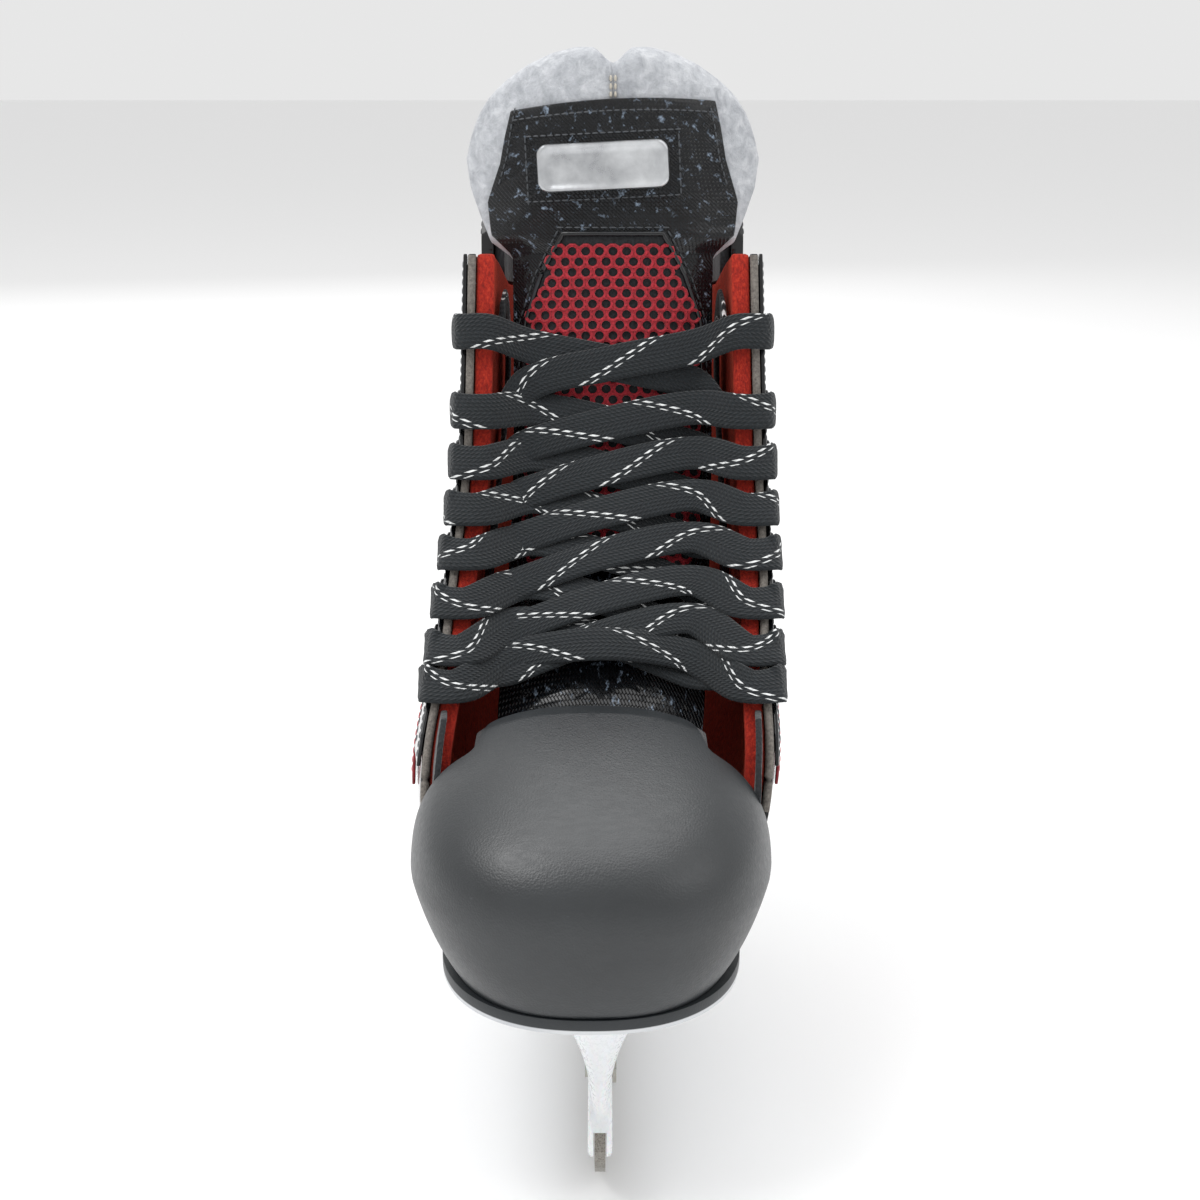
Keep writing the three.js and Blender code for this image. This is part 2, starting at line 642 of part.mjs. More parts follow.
function tuckedStops(side) {
  const v = ROW_SHARES[0];
  const depth = INNER_DEPTH - 2.4;
  const spots = [[14, v + 0.03, 6], [24, v + 0.035, LACE_WIDTH], [36, v - 0.02, LACE_WIDTH],
    [44, v - 0.12, LACE_WIDTH], [48, v - 0.24, LACE_WIDTH], [50, v - 0.33, 7], [51, v - 0.37, 3]];
  return spots.map(([distance, height, width]) => ({
    at: onSide(side, distance, height, depth),
    wide: new V3(0, 1, height > v - 0.05 ? 6 : 0.2).normalize(),
    width,
    thick: width < 4 ? 2.6 : LACE_THICK,
  }));
}

// From the bar over the lowest eyelets, one half of the lace climbs to the top.
function laceHalf(start) {
  let side = start;
  const stops = [...loopStops(side, EYELET_ROWS - 1)];
  for (let row = EYELET_ROWS - 2; row >= 0; row -= 1) {
    side = -side;
    stops.push(...crossingStops(side, row), ...loopStops(side, row));
  }
  stops.push(...tuckedStops(side));
  return stops;
}

function laceStops() {
  const left = laceHalf(-1).reverse();
  const right = laceHalf(1);
  const z = frontEdge.getPointAt(ROW_SHARES[EYELET_ROWS - 1]).z;
  const bar = [-22, 0, 22].map((x) => ({
    at: tonguePoint(x, z + 1, 10.5 - Math.abs(x) / 14),
    wide: edgeAlong(ROW_SHARES[EYELET_ROWS - 1]),
    width: LACE_WIDTH,
    thick: LACE_THICK,
  }));
  return [...left, ...bar, ...right];
}

function ribbon(stops, perStop) {
  const path = new THREE.CatmullRomCurve3(stops.map((s) => s.at), false, 'centripetal');
  const count = (stops.length - 1) * perStop;
  const rings = [];
  let last = null;
  for (let i = 0; i <= count; i += 1) {
    const t = i / count;
    const k = Math.min(stops.length - 2, Math.floor(t * (stops.length - 1)));
    if (i % perStop > 0 && stops[k].at.distanceTo(stops[k + 1].at) < SHORT_STEP) continue;
    const f = t * (stops.length - 1) - k;
    const [a, b] = [stops[k], stops[k + 1]];
    const along = path.getTangent(t);
    const wide = a.wide.clone().multiplyScalar(1 - f).addScaledVector(b.wide, f);
    wide.addScaledVector(along, -wide.dot(along)).normalize();
    if (last && wide.dot(last) < 0) wide.negate();
    last = wide;
    const up = along.clone().cross(wide);
    rings.push({ at: path.getPoint(t), wide, up, w: lerp(a.width, b.width, f) / 2, h: lerp(a.thick, b.thick, f) / 2 });
  }
  const corners = [[-1, -1], [1, -1], [1, 1], [-1, 1]];
  const g = new THREE.BufferGeometry();
  const points = [];
  for (const r of rings) {
    for (const [cw, ch] of corners) {
      const q = r.at.clone().addScaledVector(r.wide, cw * r.w).addScaledVector(r.up, ch * r.h);
      points.push(q.x, q.y, q.z);
    }
  }
  const faces = [0, 2, 1, 0, 3, 2];
  for (let i = 0; i < rings.length - 1; i += 1) {
    for (let c = 0; c < 4; c += 1) {
      const [p0, p1] = [4 * i + c, 4 * i + (c + 1) % 4];
      faces.push(p0, p1, p1 + 4, p0, p1 + 4, p0 + 4);
    }
  }
  const e = 4 * (rings.length - 1);
  faces.push(e, e + 1, e + 2, e, e + 2, e + 3);
  g.setAttribute('position', new THREE.Float32BufferAttribute(points, 3));
  g.setIndex(faces);
  return { geometry: g, path, rings };
}

function aglet(ring, towards) {
  const g = new THREE.CylinderGeometry(1.7, 1.5, 22, 10);
  g.applyQuaternion(new THREE.Quaternion().setFromUnitVectors(new V3(0, -1, 0), towards));
  const at = ring.at.clone().addScaledVector(towards, 11 + GAP);
  return g.translate(at.x, at.y, at.z);
}

// ---- the boot -----------------------------------------------------------------------------
function buildBoot() {
  add('insole_board', solePlate(-137, 107, -11, SOLE_THICK + GAP, SOLE_THICK + GAP + BOARD_THICK, 20), '#8d7a58');
  const bed = SOLE_THICK + 2 * GAP + BOARD_THICK;
  add('footbed', solePlate(-135, 106, -12, bed, bed + FOOTBED_THICK, 20), '#3a3d42', 0.9);
  add('toe_cap', fromSolid(capShell(0, CAP_WALL, CAP_REAR, CAP_TAB_REAR, CAP_TAB_HALF)), '#3b4044', 0.5);
  add('toe_liner', fromSolid(capShell(CAP_WALL + GAP, 2, CAP_REAR, -68, 33)), '#15171a', 0.8);

  for (const [name, side] of [['lateral', -1], ['medial', 1]]) {
    const holes = eyeletHoles(side);
    const cut = (geometry) => fromSolid(toSolid(geometry).subtract(holes));
    const lining = [-QUARTER_THICK - GAP, -QUARTER_THICK - GAP - LINING_THICK];
    add(`quarter_${name}`, cut(sideShell(side, [0, SEAM_SHARE, 0, 1], [-QUARTER_THICK, 0], 12, 8)), '#0c0e11', 0.15);
    add(`lining_${name}`, cut(sideShell(side, [0, SEAM_SHARE, 0, 1], lining, 12, 8)), '#d8341c', 0.95);
    const strip = (v) => inFromEdge(FACING_WIDTH, v);
    add(`facing_${name}`, cut(sideShell(side, [0, strip, 0.22, 1], [GAP, GAP + FACING_THICK], 2, 8)), '#15181c', 0.2);
    const panel = block((u, v, w) => {
      const vv = lerp(0.16, 0.4, v);
      const u0 = inFromEdge(FACING_WIDTH + 4, vv);
      return sideOffset(side, lerp(u0, 0.46 + 0.1 * v, u), vv, lerp(WRAP, WRAP + PANEL_THICK, w));
    }, 6, 4);
    add(`accent_panel_${name}`, panel, '#8e1f27', 0.3);
    for (let row = 0; row < EYELET_ROWS; row += 1) {
      add(`eyelet_${name}_${row + 1}`, eyeletGeometry(eyeletFrame(side, row)), '#1a1c1e', 0.3, 1);
    }
  }
  add('heel_counter', heelShell(1 - SIDE_SHARE, 0.03, 0.4, [WRAP, WRAP + 1.2], 12, 4), '#16191d', 0.2);
  add('backstay', heelShell((1 - SIDE_SHARE) / 3, 0.415, 0.99, [WRAP, WRAP + 1.2], 4, 7), '#16191d', 0.3);
  add('tendon_guard', guardShell([-GUARD_THICK, 0], GAP, 1, 14, 3), '#101316', 0.3);
  add('tendon_guard_pad', guardShell([-GUARD_THICK - GAP - 3, -GUARD_THICK - GAP], 1, 0.94, 14, 3), '#24272b', 0.9);

  const crease = TONGUE_CREASE;
  add('tongue_felt_lower', tongueSheet(112, crease - GAP, feltHalf, [-FELT_THICK, 0], 6, 11), '#c9cbd0', 1);
  add('tongue_felt_upper', tongueSheet(crease + GAP, 309, feltHalf, [-FELT_THICK, 0], 8, 8), '#c9cbd0', 1);
  add('tongue_face_lower', tongueSheet(112, crease - GAP, faceHalf, [GAP, FACE_OUT], 6, 11), '#0d0f12', 0.15);
  add('tongue_face_upper', tongueSheet(crease + GAP, 293, faceHalf, [GAP, FACE_OUT], 8, 5), '#0d0f12', 0.15);
  add('mesh_panel', tongueSheet(156, 252.5, meshHalf, [FACE_OUT + GAP, MESH_OUT], 6, 8), '#b3162a', 0.7);
  add('badge_plate', badge(), '#c4c6c8', 0.3, 1);

  const lace = ribbon(laceStops(), 2);
  add('lace', lace.geometry, '#1c2428', 0.95);
  const [first, last] = [lace.rings[0], lace.rings[lace.rings.length - 1]];
  add('aglet_lateral', aglet(first, lace.path.getTangent(0).negate()), '#202428', 0.3);
  add('aglet_medial', aglet(last, lace.path.getTangent(1)), '#202428', 0.3);
}

build();
buildBoot();
export default group;
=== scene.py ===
"""Looks of a right-foot ice hockey skate: boot, tongue, lace, toe cap, sole, holder and runner."""
import math

import bmesh
import bpy
import numpy as np
from bpy.props import FloatProperty, FloatVectorProperty, PointerProperty
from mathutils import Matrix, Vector


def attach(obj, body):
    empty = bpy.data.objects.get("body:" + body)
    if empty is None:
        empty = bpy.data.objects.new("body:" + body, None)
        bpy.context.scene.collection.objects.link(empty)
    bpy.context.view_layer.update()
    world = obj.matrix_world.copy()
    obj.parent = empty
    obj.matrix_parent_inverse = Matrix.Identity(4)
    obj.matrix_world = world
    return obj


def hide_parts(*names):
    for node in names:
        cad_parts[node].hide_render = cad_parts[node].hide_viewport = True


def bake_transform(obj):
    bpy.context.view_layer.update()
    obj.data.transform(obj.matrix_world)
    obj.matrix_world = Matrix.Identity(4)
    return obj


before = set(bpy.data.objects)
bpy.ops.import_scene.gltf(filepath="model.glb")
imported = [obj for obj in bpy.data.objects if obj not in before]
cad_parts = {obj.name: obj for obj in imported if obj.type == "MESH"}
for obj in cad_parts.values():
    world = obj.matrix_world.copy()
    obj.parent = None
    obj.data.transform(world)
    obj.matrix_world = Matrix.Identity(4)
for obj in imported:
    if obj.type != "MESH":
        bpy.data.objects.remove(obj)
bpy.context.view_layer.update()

bl_info = {
    "name": "Hockey Skate Looks",
    "version": (1, 0, 0),
    "blender": (4, 5, 0),
    "location": "View3D > Sidebar > Skate",
    "description": "Builds the visible surfaces of an ice hockey skate around its packed frame",
    "category": "Object",
}

MM = 0.001
GAP = 0.3

# ---- sizes shared with the frame, in millimetres ---------------------------------------------
WELT = 1.3
WRAP = 0.6
SOLE_FRONT, SOLE_HEEL, SOLE_THICK = 62, 73, 4
TOE_Y, HEEL_Y = -147, 122
QUARTER, LINING, FACING = 2.4, 5.6, 1.2
FACING_WIDTH = 21
GUARD, GUARD_RISE, GUARD_REACH = 4, 58, 0.42
CAP_WALL = 2.8
CAP_HALF = (51, 66, 44)
CAP_CENTRE = (-2.5, -84, 86)
CAP_POWER, CAP_SLOPE = 2.5, 15
CAP_TAPER = {"from": 90, "over": 24, "share": 0.165, "power": 1.1}
CAP_REAR, CAP_TAB_REAR, CAP_TAB_HALF = -91, -77, 29
FELT, FACE = 6, 1.2
FACE_OUT = GAP + FACE
FACE_SEAM = FACE_OUT + 0.15
MESH_LOW, MESH_HIGH = 156, 252.5
HEEL_ROUND, SIDE_SHARE, SEAM_SHARE = 40, 0.68, 0.998
EYELET_INSET = 9
ROWS = (0.888, 0.774, 0.698, 0.626, 0.555, 0.476, 0.399, 0.341)
OUTER = GAP + FACING
INNER = -QUARTER - GAP - LINING


# ---- curves and surfaces of the boot ---------------------------------------------------------
def smoothstep(x, low, high):
    t = np.clip((np.asarray(x, float) - low) / (high - low), 0, 1)
    return t * t * (3 - 2 * t)


def lerp(a, b, t):
    return a + (b - a) * t


def linear(points, x):
    xs, ys = zip(*points)
    return np.interp(x, xs, ys)


def hermite(xs, rows, x):
    """A smooth curve through rows of values at xs, read at x."""
    xs = np.asarray(xs, float)
    rows = np.asarray(rows, float)
    x = np.clip(np.asarray(x, float), xs[0], xs[-1])
    if rows.ndim == 1:
        rows = np.repeat(rows[:, None], x.size, 1)
    last = len(xs) - 1
    low = np.maximum(np.arange(last + 1) - 1, 0)
    high = np.minimum(np.arange(last + 1) + 1, last)
    slope = (rows[high] - rows[low]) / (xs[high] - xs[low])[:, None]
    i = np.clip(np.searchsorted(xs, x, "left") - 1, 0, last - 1)
    n = np.arange(x.size)
    span = xs[i + 1] - xs[i]
    t = (x - xs[i]) / span
    return ((2 * t**3 - 3 * t * t + 1) * rows[i, n] + (t**3 - 2 * t * t + t) * span * slope[i, n]
            + (3 * t * t - 2 * t**3) * rows[i + 1, n] + (t**3 - t * t) * span * slope[i + 1, n])


class Path:
    """A centripetal spline through points, read by its share of the length."""

    def __init__(self, points, steps=40):
        p = [np.array(q, float) for q in points]
        p = [2 * p[0] - p[1]] + p + [2 * p[-1] - p[-2]]
        out = []
        for a, b, c, d in zip(p, p[1:], p[2:], p[3:]):
            k = [0.0]
            for q, r in ((a, b), (b, c), (c, d)):
                k.append(k[-1] + max(1e-4, np.linalg.norm(r - q) ** 0.5))
            for t in np.linspace(k[1], k[2], steps, endpoint=False):
                e = [(k[j + 1] - t) / (k[j + 1] - k[j]) * q + (t - k[j]) / (k[j + 1] - k[j]) * r
                     for j, (q, r) in enumerate(((a, b), (b, c), (c, d)))]
                f = [(k[j + 2] - t) / (k[j + 2] - k[j]) * e[j] + (t - k[j]) / (k[j + 2] - k[j]) * e[j + 1]
                     for j in (0, 1)]
                out.append((k[2] - t) / (k[2] - k[1]) * f[0] + (t - k[1]) / (k[2] - k[1]) * f[1])
        out.append(p[-2])
        self.points = np.array(out)
        run = np.cumsum(np.r_[0, np.linalg.norm(np.diff(self.points, axis=0), axis=1)])
        self.length = run[-1]
        self.share = run / run[-1]

    def at(self, t):
        t = np.clip(t, 0, 1)
        return np.stack([np.interp(t, self.share, c) for c in self.points.T], -1)

    def tangent(self, t, e=0.004):
        d = self.at(np.clip(np.asarray(t) + e, 0, 1)) - self.at(np.clip(np.asarray(t) - e, 0, 1))
        return d / np.linalg.norm(d, axis=-1, keepdims=True)


def foot_centre(y):
    return CAP_CENTRE[0] * smoothstep(-np.asarray(y, float), -60, 60)


def sole_under(y):
    return lerp(SOLE_FRONT, SOLE_HEEL, smoothstep(y, -20, 48))


def boot_base(y):
    return sole_under(y) + SOLE_THICK + WELT


FRONT_EDGE = Path([(-89, boot_base(-89)), (-88, 88), (-82, 110), (-66, 131), (-45, 149), (-23, 171),
                   (-7, 195), (3, 220), (11.5, 247)])
BACK_EDGE = Path([(118, boot_base(118)), (HEEL_Y + 5, 98), (HEEL_Y + 4, 122), (113, 160), (101, 195),
                  (98, 222)])
TONGUE_LINE = Path([(-86, 110), (-72, 117), (-57, 126), (-37, 144), (-15, 168), (1, 194), (10, 220),
                    (15, 243), (16.5, 256), (18, 280), (20, 309)])


def half_width(y, h):
    rows = [
        hermite((-90, -60, -20, 20, 60, 100), (42, 45, 42, 36.5, 34.5, 33.5), y),
        hermite((-90, -60, -35, -10, 20, 60, 100), (49, 52.5, 52.5, 49.5, 44, 41, 37), y),
        hermite((-70, -20, 20, 60, 100), (47, 49, 47, 43, 36), y),
        hermite((-20, 20, 60, 100), (45, 46, 42, 34), y),
        hermite((0, 20, 60, 100), (44, 44.5, 41, 32), y),
    ]
    return hermite((0, 35, 75, 125, 175), rows, h)


def side_centre(h, y):
    return lerp(foot_centre(y), 4, smoothstep(h, 0, 130))


def side_points(side, u, v):
    u, v = np.broadcast_arrays(np.asarray(u, float), np.asarray(v, float))
    a, b = FRONT_EDGE.at(v), BACK_EDGE.at(v)
    turn = b[..., 0] - HEEL_ROUND
    h = lerp(a[..., 1] - boot_base(a[..., 0]), b[..., 1] - boot_base(b[..., 0]), u)
    angle = np.clip((u - SIDE_SHARE) / (1 - SIDE_SHARE), 0, 1) * math.pi / 2
    y = np.where(u <= SIDE_SHARE, lerp(a[..., 0], turn, u / SIDE_SHARE), turn + HEEL_ROUND * np.sin(angle))
    share = np.maximum(0.006, np.cos(angle) ** 0.85)
    half = half_width(np.minimum(y, turn).ravel(), h.ravel()).reshape(h.shape) * share
    return np.stack([side_centre(h, y) + side * half, y, boot_base(y) + h], -1)


def side_normals(side, u, v, level=True):
    e = 0.004
    u, v = np.broadcast_arrays(np.asarray(u, float), np.asarray(v, float))
    du = side_points(side, np.minimum(0.999, u + e), v) - side_points(side, np.maximum(0, u - e), v)
    dv = side_points(side, u, np.minimum(1, v + e)) - side_points(side, u, np.maximum(0, v - e))
    n = np.cross(du, dv) * side
    if level:
        n[..., 2] = 0
        n[u > 0.99] = (0, 1, 0)
    return n / np.linalg.norm(n, axis=-1, keepdims=True)


def side_offset(side, u, v, depth):
    n = side_normals(side, u, v)
    return side_points(side, u, v) + n * np.asarray(depth, float)[..., None]


def slice_length(v):
    return (BACK_EDGE.at(v)[..., 0] - HEEL_ROUND - FRONT_EDGE.at(v)[..., 0]) / SIDE_SHARE


def from_edge(distance, v):
    return distance / slice_length(v)


def heel_points(a, v, reach, depth):
    a = np.asarray(a, float)
    left = side_offset(-1, 1 - np.abs(a) * reach, v, depth)
    right = side_offset(1, 1 - np.abs(a) * reach, v, depth)
    q = np.where((a < 0)[..., None], left, right)
    middle = np.abs(a) < 1e-6
    q[..., 0] = np.where(middle, (left[..., 0] + right[..., 0]) / 2, q[..., 0])
    return q


TONGUE_SHARES = np.linspace(0, 1, 400)
TONGUE_HEIGHTS = TONGUE_LINE.at(TONGUE_SHARES)[:, 1]
CAD_FELT_HALF = ((110, 29), (126, 31), (247, 31.5), (251, 39), (256, 40), (265, 45), (277, 47), (288, 44.5),
                 (296, 40), (303, 32), (307, 24), (309, 14))


def tongue_points(x, z, depth):
    x, z, depth = np.broadcast_arrays(*(np.asarray(q, float) for q in (x, z, depth)))
    t = np.interp(z, TONGUE_HEIGHTS, TONGUE_SHARES)
    c, along = TONGUE_LINE.at(t), TONGUE_LINE.tangent(t)
    front = np.stack([0 * x, -along[..., 1], along[..., 0]], -1)
    half = linear(CAD_FELT_HALF, z)
    bow = lerp(9, 15, smoothstep(z, 244, 275))
    a = x / half
    normal = front.copy()
    normal[..., 0] += 2 * bow * a / half
    normal /= np.linalg.norm(normal, axis=-1, keepdims=True)
    centre = side_centre(z - boot_base(c[..., 0]), c[..., 0])
    base = np.stack([centre + x, c[..., 0], c[..., 1]], -1)
    return base - front * (bow * a * a)[..., None] + normal * depth[..., None]


# ---- mesh helpers ------------------------------------------------------------------------------
def linked(mesh):
    """A scene object, named like its mesh."""
    obj = bpy.data.objects.new(mesh.name, mesh)
    bpy.context.collection.objects.link(obj)
    return obj


def new_object(name, verts, faces, smooth_angle=40, cloth=None):
    """A mesh from points in millimetres; cloth is each point's place on the flat sheet, in millimetres."""
    mesh = bpy.data.meshes.new(name)
    mesh.from_pydata([tuple(q) for q in np.asarray(verts) * MM], [], faces)
    if cloth is not None:
        flat = mesh.attributes.new("cloth", "FLOAT_VECTOR", "POINT")
        flat.data.foreach_set("vector", (np.asarray(cloth, np.float32) * MM).ravel())
    obj = linked(mesh)
    bm = bmesh.new()
    bm.from_mesh(mesh)
    bmesh.ops.remove_doubles(bm, verts=bm.verts, dist=1e-6)
    bmesh.ops.recalc_face_normals(bm, faces=bm.faces)
    bm.to_mesh(mesh)
    bm.free()
    shade(mesh, smooth_angle)
    return obj


def shade(mesh, angle=40):
    mesh.shade_smooth()
    mesh.set_sharp_from_angle(angle=math.radians(angle))


def grid_faces(nu, nv, start=0, wrap=False):
    return [(start + i * nv + j, start + ((i + 1) % nu) * nv + j, start + ((i + 1) % nu) * nv + j + 1,
             start + i * nv + j + 1) for i in range(nu if wrap else nu - 1) for j in range(nv - 1)]


def block(name, f, nu, nv, bevel=0.3, nw=1, flat=(100, 100)):
    """A closed skin: a box whose grid f(u, v, w) places, with its long edges rounded."""
    verts, faces, cloth = [], [], []
    lines = [np.linspace(0, 1, n + 1) for n in (nu, nv, nw)]
    for axis in range(3):
        b, c = [k for k in range(3) if k != axis]
        for end in (0, 1):
            q = np.meshgrid(lines[b], lines[c], indexing="ij")
            uvw = [None] * 3
            uvw[axis], uvw[b], uvw[c] = np.full(q[0].shape, float(end)), q[0], q[1]
            sheet = f(*uvw)
            faces += grid_faces(sheet.shape[0], sheet.shape[1], len(verts))
            verts += list(sheet.reshape(-1, 3))
            place = np.stack([uvw[0] * flat[0], uvw[1] * flat[1], 0 * uvw[2]], -1)
            cloth += list(place.reshape(-1, 3))
    obj = new_object(name, verts, faces, 40, cloth)
    if bevel:
        finish_modifier(obj, "BEVEL", width=bevel * MM, segments=2, limit_method="ANGLE",
                        angle_limit=math.radians(50))
    return obj


def finish_modifier(obj, kind, **settings):
    m = obj.modifiers.new(kind.lower(), kind)
    for k, value in settings.items():
        setattr(m, k, value)
    bake_modifiers(obj)


def bake_modifiers(obj):
    graph = bpy.context.evaluated_depsgraph_get()
    graph.update()
    mesh = bpy.data.meshes.new_from_object(obj.evaluated_get(graph))
    old = obj.data
    obj.modifiers.clear()
    obj.data = mesh
    mesh.name = old.name
    bpy.data.meshes.remove(old)
    shade(mesh)


def paint(obj, *materials):
    obj.data.materials.clear()
    for m in materials:
        obj.data.materials.append(m)


def side_shell(name, side, span, depths, nu, nv, bevel=0.3):
    u0, u1, v0, v1 = span

    def f(u, v, w):
        vv = lerp(v0, v1, v)
        end = u1(vv) if callable(u1) else u1
        q = side_offset(side, lerp(u0, end, u), vv, lerp(depths[0], depths[1], w))
        if v0 == 0:
            q[..., 2] = np.where(v == 0, boot_base(q[..., 1]), q[..., 2])
        return q

    return block(name, f, nu, nv, bevel, flat=(200, 180))


# Sheets that bend at a joint: the body they bend towards, and where the bend starts and ends.
BENDS = {"tongue_bend": ("tongue_top", (0.004, 0.016, 0.246), (0.004, 0.017, 0.268)),
         "guard_bend": ("tendon_guard", (0.004, 0.098, 0.223), (0.004, 0.101, 0.268))}


def set_piece(obj, body, material, nodes=()):
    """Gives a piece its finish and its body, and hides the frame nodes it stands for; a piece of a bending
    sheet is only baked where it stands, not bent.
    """
    if material:
        paint(obj, FINISHES[material])
    if body in BENDS:
        towards, start, end = BENDS[body]
        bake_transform(obj)
        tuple(start)
        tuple(end)
    else:
        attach(obj, body)
    if nodes:
        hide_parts(*nodes)
    return obj


def cut_by(obj, cutter, keep="DIFFERENCE"):
    """Takes the cutter away from a piece, or keeps only what lies inside it."""
    m = obj.modifiers.new("cut", "BOOLEAN")
    m.object = cutter
    m.operation = keep
    m.solver = "EXACT"
    bake_modifiers(obj)
    bpy.data.objects.remove(cutter)


def sew(name, lines, body, boot, thread="dark_thread", pitch=None, length=None, radius=None):
    """Rows of stitches along lines; pitch, length and radius stand in for the boot's own settings."""
    obj = line_object(name, lines)
    pitch = pitch or boot.stitch_pitch
    run_tree(obj, stitch_tree(FINISHES[thread]), Pitch=pitch, Stitch_length=length or pitch * 0.8,
             Thread=radius or boot.thread)
    set_piece(obj, body, None, ())


def joined(name, objects):
    """One object from several meshes."""
    bm = bmesh.new()
    for o in objects:
        bm.from_mesh(o.data)
        bpy.data.objects.remove(o)
    mesh = bpy.data.meshes.new(name)
    bm.to_mesh(mesh)
    bm.free()
    return linked(mesh)


# ---- geometry node trees -----------------------------------------------------------------------
def tree_node(tree, kind, links=(), **settings):
    """Adds one node, sets its properties, and links or fills its inputs."""
    node = tree.nodes.new(kind)
    for key, value in settings.items():
        setattr(node, key, value)
    for socket, value in dict(links).items():
        target = node.inputs[socket]
        if isinstance(value, bpy.types.NodeSocket):
            tree.links.new(value, target)
        else:
            target.default_value = value
    return node


def new_tree(name, floats):
    tree = bpy.data.node_groups.new(name, "GeometryNodeTree")
    tree.interface.new_socket("Geometry", in_out="INPUT", socket_type="NodeSocketGeometry")
    for label, value in floats.items():
        s = tree.interface.new_socket(label, in_out="INPUT", socket_type="NodeSocketFloat")
        s.default_value = value
    tree.interface.new_socket("Geometry", in_out="OUTPUT", socket_type="NodeSocketGeometry")
    return tree, tree.nodes.new("NodeGroupInput"), tree.nodes.new("NodeGroupOutput")


def end_tree(tree, out, geometry, material):
    real = tree_node(tree, "GeometryNodeRealizeInstances", {"Geometry": geometry})
    done = tree_node(tree, "GeometryNodeSetMaterial", {"Geometry": real.outputs[0], "Material": material})
    tree.links.new(done.outputs[0], out.inputs[0])


def run_tree(obj, tree, **values):
    m = obj.modifiers.new(tree.name, "NODES")
    m.node_group = tree
    given = {key.replace("_", " "): float(value) for key, value in values.items()}
    for item in tree.interface.items_tree:
        if item.in_out == "INPUT" and item.name in given:
            m[item.identifier] = given[item.name]
    material = list(obj.data.materials)
    bake_modifiers(obj)
    if not obj.data.materials and material:
        paint(obj, *material)


def stitch_tree(material):
    """Thread stitches laid end to end along every line of the input."""
    tree, given, out = new_tree("stitches", {"Pitch": 0.003, "Stitch length": 0.0024, "Thread": 0.0003})
    line = tree_node(tree, "GeometryNodeMeshToCurve", {"Mesh": given.outputs["Geometry"]})
    spots = tree_node(tree, "GeometryNodeCurveToPoints",
                      {"Curve": line.outputs[0], "Length": given.outputs["Pitch"]}, mode="LENGTH")
    bead = tree_node(tree, "GeometryNodeMeshUVSphere", {"Segments": 6, "Rings": 5, "Radius": 1.0})
    half = tree_node(tree, "ShaderNodeMath", {0: given.outputs["Stitch length"], 1: 0.5},
                     operation="MULTIPLY")
    size = tree_node(tree, "ShaderNodeCombineXYZ", {"X": given.outputs["Thread"],
                                                    "Y": given.outputs["Thread"], "Z": half.outputs[0]})
    put = tree_node(tree, "GeometryNodeInstanceOnPoints", {
        "Points": spots.outputs["Points"], "Instance": bead.outputs[0],
        "Rotation": spots.outputs["Rotation"], "Scale": size.outputs[0]})
    end_tree(tree, out, put.outputs[0], material)
    return tree


def ring_of(tree, corners, radius, sides, roll):
    """A closed tube of one radius bent round a circle."""
    round_it, section = (
        tree_node(tree, "GeometryNodeCurvePrimitiveCircle", {"Resolution": count, "Radius": size}).outputs[0]
        for count, size in ((corners, radius), (sides, roll)))
    return tree_node(tree, "GeometryNodeCurveToMesh",
                     {"Curve": round_it, "Profile Curve": section}).outputs[0]


def ring_tree(material):
    """A rolled ring standing on each point, square to the point's aim."""
    tree, given, out = new_tree("rolled_rings", {"Ring radius": 0.0039, "Roll radius": 0.0011})
    ring = ring_of(tree, 24, given.outputs["Ring radius"], 8, given.outputs["Roll radius"])
    put_on_points(tree, given, out, ring, material)
    return tree


def dome_tree(material):
    """A low round head on each point, square to the point's aim."""
    tree, given, out = new_tree("round_heads", {"Head radius": 0.0042, "Head height": 0.0014})
    ball = tree_node(tree, "GeometryNodeMeshUVSphere", {"Segments": 20, "Rings": 12, "Radius": 1.0})
    size = tree_node(tree, "ShaderNodeCombineXYZ", {
        "X": given.outputs["Head radius"], "Y": given.outputs["Head radius"],
        "Z": given.outputs["Head height"]})
    head = tree_node(tree, "GeometryNodeTransform", {"Geometry": ball.outputs[0], "Scale": size.outputs[0]})
    put_on_points(tree, given, out, head.outputs[0], material)
    return tree


def put_on_points(tree, given, out, shape, material):
    aim = tree_node(tree, "GeometryNodeInputNamedAttribute", {"Name": "aim"}, data_type="FLOAT_VECTOR")
    turn = tree_node(tree, "FunctionNodeAlignRotationToVector", {"Vector": aim.outputs["Attribute"]},
                     axis="Z")
    put = tree_node(tree, "GeometryNodeInstanceOnPoints", {
        "Points": given.outputs["Geometry"], "Instance": shape, "Rotation": turn.outputs[0]})
    end_tree(tree, out, put.outputs[0], material)


def cell_tree(material):
    """The knit cell of a spacer mesh, a thick ring, on each point."""
    tree, given, out = new_tree("mesh_cells", {"Cell radius": 1.9, "Yarn": 0.42})
    cell = ring_of(tree, 10, given.outputs["Cell radius"], 5, given.outputs["Yarn"])
    put = tree_node(tree, "GeometryNodeInstanceOnPoints",
                    {"Points": given.outputs["Geometry"], "Instance": cell})
    end_tree(tree, out, put.outputs[0], material)
    return tree


def line_object(name, lines):
    """Open lines of points, in millimetres, as one object of loose edges."""
    verts, edges = [], []
    for line in lines:
        start = len(verts)
        verts += [tuple(np.asarray(q) * MM) for q in line]
        edges += [(start + i, start + i + 1) for i in range(len(line) - 1)]
    mesh = bpy.data.meshes.new(name)
    mesh.from_pydata(verts, edges, [])
    return linked(mesh)


